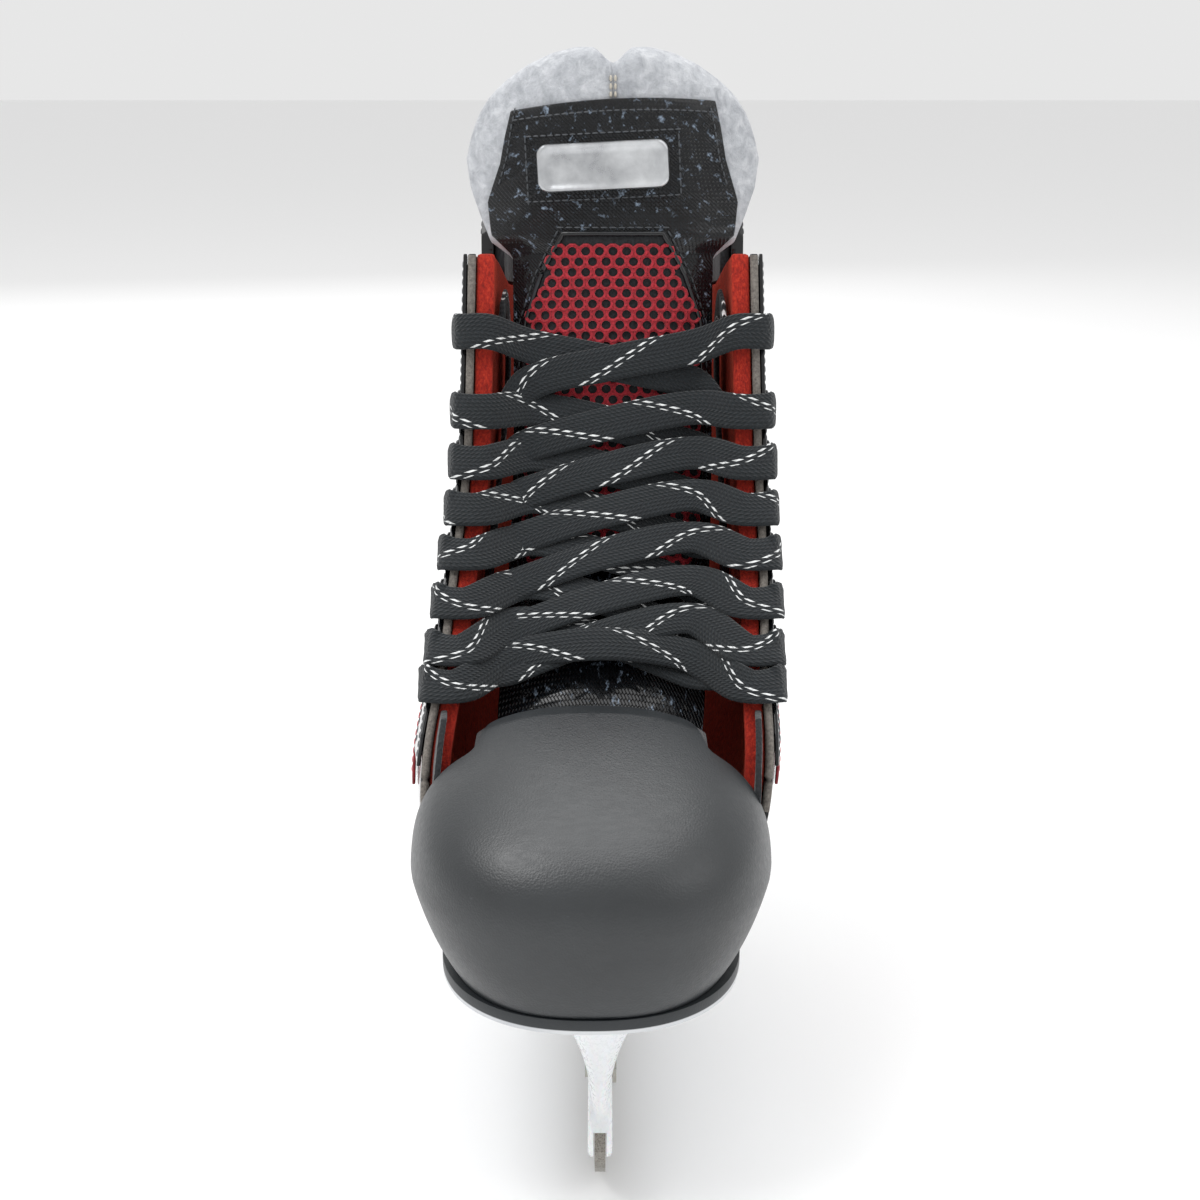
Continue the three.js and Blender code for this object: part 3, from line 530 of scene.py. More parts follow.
def point_object(name, points, aims=None, scale=MM):
    mesh = bpy.data.meshes.new(name)
    mesh.from_pydata([tuple(np.asarray(q) * scale) for q in points], [], [])
    if aims is not None:
        a = mesh.attributes.new("aim", "FLOAT_VECTOR", "POINT")
        a.data.foreach_set("vector", np.asarray(aims, float).ravel())
    return linked(mesh)


def tube(name, line, radius, sides=8):
    """A round cord of one radius along a line, with closed ends."""
    line = np.asarray(line, float)
    along = np.gradient(line, axis=0)
    along /= np.linalg.norm(along, axis=1, keepdims=True)
    ref = np.where(np.abs(along[:, 2:]) > 0.9, (1.0, 0, 0), (0, 0, 1.0))
    a = np.cross(along, ref)
    a /= np.linalg.norm(a, axis=1, keepdims=True)
    b = np.cross(along, a)
    angles = np.linspace(0, 2 * math.pi, sides, endpoint=False)
    rings = [line + radius * (math.cos(t) * a + math.sin(t) * b) for t in angles]
    verts = np.concatenate(rings)
    n = len(line)
    faces = grid_faces(sides, n, wrap=True)
    faces += [tuple(i * n for i in range(sides)), tuple(i * n + n - 1 for i in range(sides))]
    return new_object(name, verts, faces, 60)


# ---- finishes ----------------------------------------------------------------------------------
def linear_colour(code):
    """An sRGB hex colour as linear RGBA."""
    parts = [int(code[i:i + 2], 16) / 255 for i in (1, 3, 5)]
    return (*[c / 12.92 if c <= 0.04045 else ((c + 0.055) / 1.055) ** 2.4 for c in parts], 1)


class Finish:
    """A material being made: its tree, its surface, and the coordinates that its pattern reads."""

    def __init__(self, name, colour, roughness, **surface):
        self.mat = bpy.data.materials.new(name)
        self.mat.use_nodes = True
        self.tree = self.mat.node_tree
        self.shader = self.tree.nodes["Principled BSDF"]
        surface = {"Base Color": linear_colour(colour), "Roughness": roughness, **surface}
        for socket, value in surface.items():
            self.shader.inputs[socket.replace("_", " ")].default_value = value
        self.where = self.node("ShaderNodeTexCoord").outputs["Object"]

    def node(self, kind, links=(), **settings):
        return tree_node(self.tree, kind, links, **settings)

    def link(self, value, socket):
        self.tree.links.new(value, self.shader.inputs[socket])

    def cloth(self):
        """The piece's own surface coordinates, laid out flat, in metres."""
        return self.node("ShaderNodeAttribute", attribute_name="cloth").outputs["Vector"]

    def stretched(self, scale, turn=0.0, where=None):
        return self.node("ShaderNodeMapping", {"Vector": where or self.where, "Scale": scale,
                                               "Rotation": (0, 0, turn)}).outputs[0]

    def noise(self, size, detail=2.0, rough=0.5, lumps=0.0, where=None):
        """Soft noise whose lumps are about size metres across."""
        return self.node("ShaderNodeTexNoise", {
            "Vector": where or self.where, "Scale": 1 / size, "Detail": detail, "Roughness": rough,
            "Distortion": lumps}).outputs["Fac"]

    def grains(self, scale, where=None):
        return self.node("ShaderNodeTexVoronoi", {"Vector": where or self.where,
                                                  "Scale": scale}).outputs["Distance"]

    def ramp(self, value, *stops):
        node = self.node("ShaderNodeValToRGB", {"Fac": value})
        line = node.color_ramp.elements
        while len(line) < len(stops):
            line.new(0.5)
        for element, (place, colour) in zip(line, stops):
            element.position = place
            element.color = linear_colour(colour) if isinstance(colour, str) else (*[colour] * 3, 1)
        return node.outputs["Color"]

    def tint(self, value, *stops):
        self.link(self.ramp(value, *stops), "Base Color")

    def mix(self, share, first, second):
        """The base colour goes from first to the hex colour second by share."""
        self.link(self.node("ShaderNodeMix", {0: share, 6: first, 7: linear_colour(second)},
                            data_type="RGBA").outputs[2], "Base Color")

    def span(self, value, low, high, to_low, to_high):
        return self.node("ShaderNodeMapRange", {
            "Value": value, "From Min": low, "From Max": high, "To Min": to_low,
            "To Max": to_high}).outputs[0]

    def gloss(self, value, low, high, to_low, to_high):
        self.link(self.span(value, low, high, to_low, to_high), "Roughness")

    def math(self, operation, *values):
        return self.node("ShaderNodeMath", dict(enumerate(values)), operation=operation).outputs[0]

    def wave(self, value, length):
        """0 to 1 and back over each length."""
        turn = self.math("MULTIPLY", value, 2 * math.pi / length)
        return self.span(self.math("SINE", turn), -1, 1, 0, 1)

    def bump(self, height, distance, strength, under=None):
        """Relief whose full height is distance metres; under is a relief below it."""
        links = {"Height": height, "Strength": strength, "Distance": distance}
        if under is not None:
            links["Normal"] = under
        normal = self.node("ShaderNodeBump", links).outputs["Normal"]
        self.link(normal, "Normal")
        return normal


def ground_steel():
    # Runner steel, ground lengthwise: fine bright scratches along the blade and a soft streaked sheen.
    f = Finish("ground_runner_steel", "#8a8680", 0.3, Metallic=1.0)
    lines = f.noise(0.0004, 4.0, 0.6, where=f.stretched((1, 0.02, 1)))
    f.tint(lines, (0.3, "#77736d"), (0.7, "#aaa69e"))
    f.gloss(lines, 0.3, 0.7, 0.22, 0.42)
    f.bump(lines, 0.00004, 0.6)
    return f.mat


def pressed_metal():
    # Nickel-plated pressed steel of rivets and bolts: dull plating with small dents.
    f = Finish("nickel_plated_steel", "#b9b6ae", 0.32, Metallic=1.0)
    dents = f.noise(0.0012, 3.0)
    f.gloss(dents, 0.3, 0.7, 0.24, 0.44)
    f.bump(dents, 0.00005, 0.5)
    return f.mat


def enamel_metal():
    # Brass eyelets under black enamel: a hard gloss film, slightly orange-peeled.
    f = Finish("black_enamelled_brass", "#16181b", 0.25, Metallic=0.6)
    peel = f.noise(0.0008)
    f.gloss(peel, 0.3, 0.7, 0.18, 0.34)
    f.bump(peel, 0.00003, 0.5)
    return f.mat


def milky_plastic():
    # Injection-moulded polyamide of the holder: milky, lets a little light in, smooth with fine scuffs.
    f = Finish("moulded_milky_nylon", "#e4e6e8", 0.28, Subsurface_Weight=0.25, Subsurface_Scale=0.004,
               IOR=1.52, Coat_Weight=0.25, Coat_Roughness=0.15)
    f.tint(f.noise(0.03, 3.0), (0.3, "#dfe2e4"), (0.7, "#e9ebed"))
    scuff = f.noise(0.0008, 5.0, 0.65, where=f.stretched((1, 0.12, 1)))
    f.gloss(scuff, 0.35, 0.75, 0.22, 0.42)
    f.bump(scuff, 0.00004, 0.5)
    return f.mat


def sole_plastic():
    # Moulded composite outsole: satin pale grey with a fine grain; the toe wall under the cap is painted
    # dark as shade.
    f = Finish("moulded_composite_sole", "#c9cbce", 0.45, IOR=1.5)
    pale = f.ramp(f.noise(0.02, 3.0), (0.3, "#bfc1c5"), (0.7, "#d6d8da"))
    place = f.node("ShaderNodeSeparateXYZ", {"Vector": f.where})
    shade_above_lip = f.span(place.outputs["Z"], 0.0629, 0.0632, 0, 1)
    shade_at_toe = f.span(place.outputs["Y"], -0.0845, -0.084, 1, 0)
    # Painted shade: the top of the toe wall, under the overhanging toe cap, is mixed to near black.
    f.mix(f.math("MULTIPLY", shade_above_lip, shade_at_toe), pale, "#23272a")
    f.bump(f.grains(1400.0), 0.00006, 0.5)
    return f.mat


def fibre_board():
    # Pressed fibre insole board: brown with short paler fibres.
    f = Finish("pressed_fibre_board", "#8d7a58", 0.9)
    fibre = f.noise(0.0012, 5.0, 0.7, where=f.stretched((1, 0.3, 1)))
    f.tint(fibre, (0.35, "#6f5e41"), (0.65, "#a3906c"))
    f.bump(fibre, 0.0001, 0.6)
    return f.mat


def cap_plastic():
    # Injection-moulded toe cap: satin dark slate plastic with a spark-eroded grain and rubbed scuffs.
    f = Finish("moulded_slate_plastic", "#1e2225", 0.42, IOR=1.5, Specular_IOR_Level=0.75)
    tone = f.ramp(f.noise(0.025, 4.0, 0.6), (0.3, "#181c1f"), (0.7, "#23272a"))
    scuff = f.noise(0.0016, 6.0, 0.72, where=f.stretched((0.35, 1, 1), 0.5))
    f.mix(f.ramp(scuff, (0.66, 0.0), (0.8, 0.35)), tone, "#596064")
    f.gloss(scuff, 0.3, 0.75, 0.34, 0.5)
    f.bump(f.grains(1600.0), 0.00009, 0.6)
    return f.mat


def dark_tricot():
    # Warp-knitted lining cloth, near black: small soft columns that kill the light.
    f = Finish("black_tricot_knit", "#15171a", 0.95, Sheen_Weight=0.25, Sheen_Roughness=0.5)
    f.tint(f.noise(0.0007, 4.0), (0.3, "#0d0e10"), (0.7, "#24272b"))
    f.bump(f.grains(1100.0, f.stretched((1, 1, 0.5))), 0.0003, 0.8)
    return f.mat


def patent_sheet(name, deep, pale, glint):
    # Patent-coated synthetic leather: a hard glossy film over cloth, with fine creases that catch light.
    f = Finish(name, deep, 0.22, Coat_Weight=0.7, Coat_Roughness=0.06, IOR=1.45, Specular_IOR_Level=0.2)
    cloud = f.noise(0.018, 5.0, 0.62, 0.6)
    f.tint(cloud, (0.38, deep), (0.6, pale), (0.8, glint))
    long_folds = f.node("ShaderNodeTexNoise", {
        "Vector": f.stretched((1, 1, 2.2)), "Scale": 85.0, "Detail": 5.0, "Roughness": 0.55,
        "Distortion": 1.4}, noise_type="RIDGED_MULTIFRACTAL")
    folds = f.bump(long_folds.outputs["Fac"], 0.0006, 0.35)
    f.gloss(cloud, 0.3, 0.75, 0.16, 0.36)
    f.bump(f.noise(0.0011, 4.0, 0.6), 0.00012, 0.5, folds)
    f.link(folds, "Coat Normal")
    return f.mat


def woven_patent():
    # Ballistic weave under a clear gloss coat: small diamonds, some of which flash.
    f = Finish("coated_ballistic_weave", "#0d0f12", 0.25, Coat_Weight=0.5, Coat_Roughness=0.08, IOR=1.45,
               Specular_IOR_Level=0.2)
    flat = f.stretched((1, 1, 0), math.radians(45), f.cloth())
    weave = f.node("ShaderNodeTexBrick", {
        "Vector": flat, "Scale": 1 / 0.0018, "Mortar Size": 0.1, "Mortar Smooth": 0.9, "Brick Width": 1.0,
        "Row Height": 0.5, "Color1": linear_colour("#07080a"), "Color2": linear_colour("#15181c"),
        "Mortar": linear_colour("#030304")})
    flash = f.ramp(f.noise(0.0032, 4.0, 0.7, where=flat), (0.58, 0.0), (0.7, 1.0))
    f.mix(flash, weave.outputs["Color"], "#8796a8")
    waves = f.bump(f.noise(0.02, 3.0, 0.5, 1.0), 0.003, 0.5)
    plump = f.span(weave.outputs["Fac"], 0, 1, 1, 0)
    f.link(f.bump(plump, 0.00035, 0.9, waves), "Coat Normal")
    return f.mat


def brushed_lining():
    # Brushed polyester lining over foam, orange-red: a short nap with paler tips and darker pits.
    f = Finish("brushed_red_polyester", "#d8341c", 0.95, Sheen_Weight=0.5, Sheen_Roughness=0.4,
               Sheen_Tint=linear_colour("#d05a3c"))
    nap = f.noise(0.0007, 6.0, 0.72, where=f.stretched((1, 1, 0.45)))
    f.tint(nap, (0.34, "#6f1209"), (0.5, "#a21f10"), (0.7, "#c23a20"))
    f.bump(nap, 0.0005, 0.9, f.bump(f.noise(0.008, 3.0), 0.0016, 0.5))
    return f.mat


def pressed_felt():
    # Pressed wool felt, grey-white: matted fibres, mottled where they lie thicker.
    f = Finish("pressed_wool_felt", "#c9cbd0", 1.0, Sheen_Weight=0.35, Sheen_Roughness=0.6)
    mottle = f.noise(0.0042, 6.0, 0.72, 0.4)
    f.tint(mottle, (0.34, "#9a9da3"), (0.52, "#b7babf"), (0.68, "#cfd1d5"))
    fibres = f.noise(0.0006, 5.0, 0.75, where=f.stretched((1, 1, 0.4), 0.6))
    f.bump(fibres, 0.0004, 0.9, f.bump(mottle, 0.0012, 0.5))
    return f.mat


def knit_yarn():
    # Knitted polyester spacer mesh, red: round soft yarns with a faint sheen.
    f = Finish("red_spacer_knit", "#b3162a", 0.75, Sheen_Weight=0.2, Sheen_Roughness=0.4)
    fibre = f.noise(0.0009, 4.0, 0.7)
    f.tint(fibre, (0.32, "#6f0a16"), (0.52, "#991021"), (0.7, "#b82434"))
    f.bump(fibre, 0.0003, 0.8)
    return f.mat


def plate_lacquer():
    # Die-cast plate under silver lacquer: fine metal flake and a soft gloss, rubbed duller in places.
    f = Finish("silver_lacquered_casting", "#c4c6c8", 0.3, Metallic=0.85, Coat_Weight=0.5,
               Coat_Roughness=0.1)
    cloud = f.noise(0.009, 4.0, 0.6)
    f.tint(cloud, (0.3, "#a9abae"), (0.7, "#d3d5d7"))
    f.gloss(cloud, 0.3, 0.7, 0.25, 0.42)
    f.bump(f.noise(0.0005, 3.0, 0.6), 0.00006, 0.6)
    return f.mat


def braided_cotton():
    # Flat braided cotton lace, charcoal: slanted plaits, fine ribs, and pale tracer yarns in pairs.
    f = Finish("braided_charcoal_cotton", "#151b1f", 0.9, Sheen_Weight=0.12, Sheen_Roughness=0.5)
    cloth = f.node("ShaderNodeSeparateXYZ", {"Vector": f.cloth()})
    across, along = cloth.outputs["X"], cloth.outputs["Y"]
    plait = f.wave(f.math("ADD", along, f.math("ABSOLUTE", across)), 0.0016)
    relief = f.math("MULTIPLY", plait, f.wave(across, 0.0012))
    fuzz = f.noise(0.0006, 4.0, 0.7)
    shades = f.ramp(fuzz, (0.3, "#0b0f12"), (0.55, "#151b1f"), (0.75, "#232b30"))
    beat = f.math("FLOORED_MODULO", f.math("MULTIPLY_ADD", across, 2.3, along), 0.034)
    on_pair = f.span(f.math("PINGPONG", beat, 0.0019), 0.0006, 0.0009, 1, 0)
    early = f.span(beat, 0.0044, 0.0048, 1, 0)
    dash = f.span(f.wave(across, 0.0017), 0.35, 0.5, 0, 1)
    f.mix(f.math("MULTIPLY", f.math("MULTIPLY", on_pair, early), dash), shades, "#e4e6e6")
    f.bump(fuzz, 0.0002, 0.7, f.bump(relief, 0.00045, 0.8))
    return f.mat


def tip_plastic():
    # Acetate film shrunk round the lace ends: clear gloss over the dark braid.
    f = Finish("acetate_film_tip", "#202428", 0.2, Coat_Weight=0.6)
    braid = f.noise(0.0012, 3.0)
    f.tint(braid, (0.35, "#15191c"), (0.65, "#2d3337"))
    f.bump(braid, 0.0001, 0.4)
    return f.mat


def sewing_thread(name, colour):
    # Bonded polyester thread: twisted, slightly waxed, so it glints a little.
    f = Finish(name, colour, 0.5, Sheen_Weight=0.2)
    twist = f.noise(0.0004)
    f.bump(twist, 0.0001, 0.7)
    f.gloss(twist, 0.3, 0.7, 0.42, 0.6)
    return f.mat


def raw_edge():
    # Cut edge of the coated sheet, where its fibre backing shows: grey-brown and fuzzy.
    f = Finish("cut_fibre_edge", "#6f6a64", 0.95)
    fibre = f.noise(0.0008, 5.0, 0.7)
    f.tint(fibre, (0.3, "#4e4a46"), (0.7, "#8c867f"))
    f.bump(fibre, 0.0003, 0.8)
    return f.mat


def pale_floor():
    # Matt painted studio floor: even and pale, with the faintest tooth.
    f = Finish("matt_studio_floor", "#f4f4f4", 0.8)
    f.bump(f.noise(0.002), 0.00005, 0.2)
    return f.mat


FINISHES = {}


def make_finishes():
    makers = {
        "steel": ground_steel, "plated": pressed_metal, "enamel": enamel_metal, "milky": milky_plastic,
        "sole": sole_plastic, "board": fibre_board, "cap": cap_plastic, "tricot": dark_tricot,
        "weave": woven_patent, "lining": brushed_lining, "felt": pressed_felt, "knit": knit_yarn,
        "lacquer": plate_lacquer, "braid": braided_cotton, "tip": tip_plastic, "edge": raw_edge,
        "floor": pale_floor,
    }
    for key, make in makers.items():
        FINISHES[key] = make()
    FINISHES["patent"] = patent_sheet("black_patent_sheet", "#060709", "#0d0f12", "#2b3036")
    FINISHES["accent"] = patent_sheet("red_patent_sheet", "#6d141b", "#9c2a33", "#c4626a")
    FINISHES["piping"] = patent_sheet("black_piping_cord", "#08090b", "#121418", "#2c3036")
    FINISHES["dark_thread"] = sewing_thread("charcoal_sewing_thread", "#3a3e43")
    FINISHES["pale_thread"] = sewing_thread("ecru_sewing_thread", "#b9b3a6")
    FINISHES["red_thread"] = sewing_thread("red_sewing_thread", "#b8323c")


# ---- shapes of the pieces ----------------------------------------------------------------------
def sole_plate(name, front, rear, grow, low, high, bevel, nu=110):
    def f(u, v, w):
        middle = (front + rear) / 2
        y = middle - np.cos(math.pi * (0.006 + 0.988 * u)) * (rear - front) / 2
        body = linear([(-150, 41), (-85, 41.5), (-40, 40), (10, 34.5), (60, 32.5), (125, 33)], y) + grow
        toe = np.clip((y - front) / 52, 0, 1)
        heel = np.clip((rear - y) / 34, 0, 1)
        half = body * (1 - (1 - toe) ** 2.3) ** (1 / 2.3) * (1 - (1 - heel) ** 2) ** 0.5
        return np.stack([foot_centre(y) + (2 * v - 1) * half, y, sole_under(y) + lerp(low, high, w)], -1)

    return block(name, f, nu, 8, bevel, flat=(260, 90))


def round_column(name, centre, low, high, z0, z1, wide0, wide1, power, flare, sides=72, rings=30):
    """An upright with squarish rounded sections, narrow below and flared above."""
    v = np.linspace(0, 1, rings + 1)[None, :]
    t = np.linspace(0, 2 * math.pi, sides, endpoint=False)[:, None]
    half = lerp(low, high, v ** 1.6)
    wide = lerp(wide0, wide1, v ** flare)
    x = np.sign(np.cos(t)) * np.abs(np.cos(t)) ** power * wide
    y = centre + np.sign(np.sin(t)) * np.abs(np.sin(t)) ** power * half
    z = lerp(z0, z1, v) + 0 * t
    verts = np.stack([x, y, z], -1).reshape(-1, 3)
    n = rings + 1
    faces = grid_faces(sides, n, wrap=True)
    faces += [tuple(i * n for i in range(sides)), tuple(i * n + n - 1 for i in range(sides))]
    return new_object(name, verts, faces)


def prism(name, outline, low, high, axis="z"):
    """An outline carried straight from low to high."""
    n = len(outline)
    place = {"z": lambda a, b, t: (a, b, t), "x": lambda a, b, t: (t, a, b)}[axis]
    verts = [place(a, b, low) for a, b in outline] + [place(a, b, high) for a, b in outline]
    faces = [tuple(range(n)), tuple(range(2 * n - 1, n - 1, -1))]
    faces += [(i, (i + 1) % n, n + (i + 1) % n, n + i) for i in range(n)]
    return new_object(name, verts, faces)


def holder_body():
    rail = [(-133, 22), (-132.8, 19), (-131, 17), (-128, 15.6), (-107, 13), (116, 13), (123, 13.4),
            (127.5, 15), (129.6, 17.4), (130, 20), (127, 30), (-40, 28), (-125, 30)]
    parts = [
        prism("rail", rail, -3.4, 3.4, "x"),
        round_column("front_tower", -84, 44, 50, 21, SOLE_FRONT - GAP - 0.2, 3.3, 21, 0.8, 2.6),
        round_column("rear_tower", 88, 38, 32, 21, SOLE_HEEL - GAP - 0.2, 3.3, 17, 0.8, 2.6),
        round_column("front_flange", -86, 51.5, 53, 58.7, 61.7, 28.2, 29, 0.75, 1),
        round_column("rear_flange", 86, 32.8, 34, 69.7, 72.7, 22.3, 23, 0.75, 1),
    ]
    obj = joined("blade_holder_moulding", parts)
    finish_modifier(obj, "REMESH", mode="VOXEL", voxel_size=0.9 * MM)
    finish_modifier(obj, "SMOOTH", factor=0.5, iterations=5)
    finish_modifier(obj, "DECIMATE", ratio=0.5)
    cutters = [prism("slot", [(-140, -5), (140, -5), (140, 24.3), (-140, 24.3)], -1.8, 1.8, "x")]
    for x, y, level in rivet_places():
        seat = [(x + 4.5 * math.cos(t), y + 4.5 * math.sin(t))
                for t in np.linspace(0, 2 * math.pi, 24, endpoint=False)]
        cutters.append(prism("seat", seat, level - 40, level - 3.3))
    cut_by(obj, joined("cutters", cutters))
    shade(obj.data, 35)
    return obj


def rivet_places():
    front = [(x, y, SOLE_FRONT) for y in (-122, -88, -54) for x in (-20, 20)]
    return front + [(x, y, SOLE_HEEL) for y in (66, 106) for x in (-15.5, 15.5)]


def cap_surface(shrink, steps=150, rings=90):
    """A rounded box body whose top falls away towards the toe."""
    v = np.linspace(0, math.pi, rings + 1)[None, :]
    t = np.linspace(0, 2 * math.pi, steps, endpoint=False)[:, None]
    d = np.stack([np.cos(t) * np.sin(v), np.sin(t) * np.sin(v), np.cos(v) + 0 * t], -1)
    d *= (np.abs(d) ** CAP_POWER).sum(-1, keepdims=True) ** (-1 / CAP_POWER)
    top = np.maximum(0, d[..., 2]) ** 2
    q = d * (np.array(CAP_HALF) - shrink)
    q[..., 2] += CAP_CENTRE[2] + CAP_SLOPE * top * np.minimum(0, d[..., 1])
    fallen = np.clip((CAP_TAPER["from"] - q[..., 2]) / CAP_TAPER["over"], 0, 1.4)
    q[..., 0] *= 1 - CAP_TAPER["share"] * fallen ** CAP_TAPER["power"]
    q[..., :2] += np.array(CAP_CENTRE[:2])
    faces = grid_faces(steps, rings + 1, wrap=True)
    return q.reshape(-1, 3), faces


def cap_body(name, shrink, wall, outline):
    """The cap's wall between two skins, kept only inside the outline seen from above."""
    outer, faces = cap_surface(shrink)
    inner, _ = cap_surface(shrink + wall)
    obj = new_object(name, outer, faces, 60)
    cut_by(obj, new_object("hollow", inner, faces, 60))
    floor = SOLE_FRONT + SOLE_THICK + GAP
    cut_by(obj, prism("region", outline, floor, 165), "INTERSECT")
    shade(obj.data, 40)
    return obj


def rounded(points, radius, steps=6):
    """A closed outline with its corners rounded."""
    out = []
    n = len(points)
    for i in range(n):
        a, b, c = (np.array(points[j % n], float) for j in (i - 1, i, i + 1))
        r = min(radius, np.linalg.norm(a - b) / 2, np.linalg.norm(c - b) / 2)
        p, q = b + (a - b) / np.linalg.norm(a - b) * r, b + (c - b) / np.linalg.norm(c - b) * r
        for t in np.linspace(0, 1, steps):
            out.append(tuple((1 - t) ** 2 * p + 2 * t * (1 - t) * b + t * t * q))
    return out


def eyelet_spots(side):
    spots = []
    for v in ROWS:
        u = from_edge(EYELET_INSET, v)
        spots.append((side_points(side, u, v), side_normals(side, u, v, level=False), v))
    return spots


def eyelet_cutter(side):
    parts = []
    for at, axis, _ in eyelet_spots(side):
        parts.append(tube("bore", [at - axis * 24, at + axis * 12], 3.5, 20))
    return joined("eyelet_bores", parts)


def sewn_line(side, points, depth):
    """A line on the boot's side, given as (distance behind the front edge, share of height)."""
    d, v = (np.array(c, float) for c in zip(*points))
    t = np.linspace(0, 1, len(d))
    fine = np.linspace(0, 1, 16 * len(d))
    d, v = np.interp(fine, t, d), np.interp(fine, t, v)
    return side_offset(side, from_edge(d, v), v, np.full(v.shape, float(depth)))


def tongue_sheet(name, low, high, half, depths, nu, nv, bevel):
    """A layer of the tongue."""
    def f(u, v, w):
        z = lerp(low, high, v)
        return tongue_points((2 * u - 1) * half(z), z, lerp(depths[0], depths[1], w))

    return block(name, f, nu, nv, bevel, flat=(80, high - low))


# ---- settings a user would change --------------------------------------------------------------
class BootSettings(bpy.types.PropertyGroup):
    """Sizes of the boot's layers."""
    edge_round: FloatProperty(name="Edge rounding", description="Radius on the edges of the stiff layers",
                              default=0.45 * MM, unit="LENGTH")
    lining_round: FloatProperty(name="Lining rounding", description="Radius on the edges of the padding",
                                default=2.3 * MM, unit="LENGTH")
    stitch_pitch: FloatProperty(name="Stitch pitch", description="Length from stitch to stitch",
                                default=2.7 * MM, unit="LENGTH")
    thread: FloatProperty(name="Thread radius", description="Radius of the sewing thread",
                          default=0.28 * MM, unit="LENGTH")


class TongueSettings(bpy.types.PropertyGroup):
    """Sizes of the tongue's mesh and plate."""
    cell_pitch: FloatProperty(name="Mesh pitch", description="Distance between holes of the spacer mesh",
                              default=4.0 * MM, unit="LENGTH")
    yarn: FloatProperty(name="Yarn radius", description="Radius of the knitted yarn", default=0.62 * MM,
                        unit="LENGTH")
    plate_rim: FloatProperty(name="Plate rim", description="Width of the plate's raised rim",
                             default=1.2 * MM, unit="LENGTH")


class StageSettings(bpy.types.PropertyGroup):
    """Camera, floor and light."""
    camera_place: FloatVectorProperty(name="Camera place", description="Where the camera stands",
                                      default=(0, -0.6752, 0.3264), subtype="TRANSLATION")
    camera_aim: FloatVectorProperty(name="Camera aim", description="The point that it faces",
                                    default=(0, -0.040, 0.140), subtype="TRANSLATION")
    lens: FloatProperty(name="Focal length", description="In millimetres, on a 36 mm sensor",
                        default=66.5, min=10)
    backdrop: FloatVectorProperty(name="Backdrop", description="Colour of the studio",
                                  default=(1.0, 1.0, 1.0), subtype="COLOR")


class PieceMaker(bpy.types.Operator):
    """Makes pieces of the skate"""
    bl_options = {"REGISTER"}

    def execute(self, context):
        self.make(context.scene)
        return {"FINISHED"}


# ---- sole, holder and runner -------------------------------------------------------------------
class SKATE_OT_runner(PieceMaker):
    """Finishes the ground steel runner and its bolts"""
    bl_idname = "skate.runner"
    bl_label = "Runner"

    def make(self, scene):
        for name, finish_name in (("runner", "steel"), ("runner_bolt_front", "plated"),
                                  ("runner_bolt_rear", "plated")):
            paint(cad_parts[name], FINISHES[finish_name])


class SKATE_OT_holder(PieceMaker):
    """Moulds the blade holder with smooth towers"""
    bl_idname = "skate.holder"
    bl_label = "Blade holder"

    def make(self, scene):
        set_piece(holder_body(), "boot", "milky", ["blade_holder"])


class SKATE_OT_sole(PieceMaker):
    """Makes the outsole, the insole board and the footbed"""
    bl_idname = "skate.sole"
    bl_label = "Sole"

    def make(self, scene):
        sole = sole_plate("outsole_moulding", TOE_Y, HEEL_Y, 0.6, 0, SOLE_THICK, 0.9)
        set_piece(sole, "boot", "sole", ["outsole"])
        low = SOLE_THICK + GAP
        board = sole_plate("insole_board_sheet", -137, 107, -11, low, low + 2.4, 0.3, 70)
        set_piece(board, "boot", "board", ["insole_board"])
        bed = sole_plate("footbed_cushion", -135, 106, -12, low + 2.7, low + 6.7, 1.2, 70)
        set_piece(bed, "boot", "tricot", ["footbed"])


class SKATE_OT_rivets(PieceMaker):
    """Sets the round rivet heads under the flanges"""
    bl_idname = "skate.rivets"
    bl_label = "Rivets"

    def make(self, scene):
        spots = [(x, y, level - 3.9) for x, y, level in rivet_places()]
        heads = point_object("rivet_heads", spots, [(0, 0, -1)] * len(spots))
        run_tree(heads, dome_tree(FINISHES["plated"]), Head_radius=4.1 * MM, Head_height=1.2 * MM)
        names = [f"rivet_front_{i}" for i in range(1, 7)] + [f"rivet_rear_{i}" for i in range(1, 5)]
        set_piece(heads, "boot", None, names)


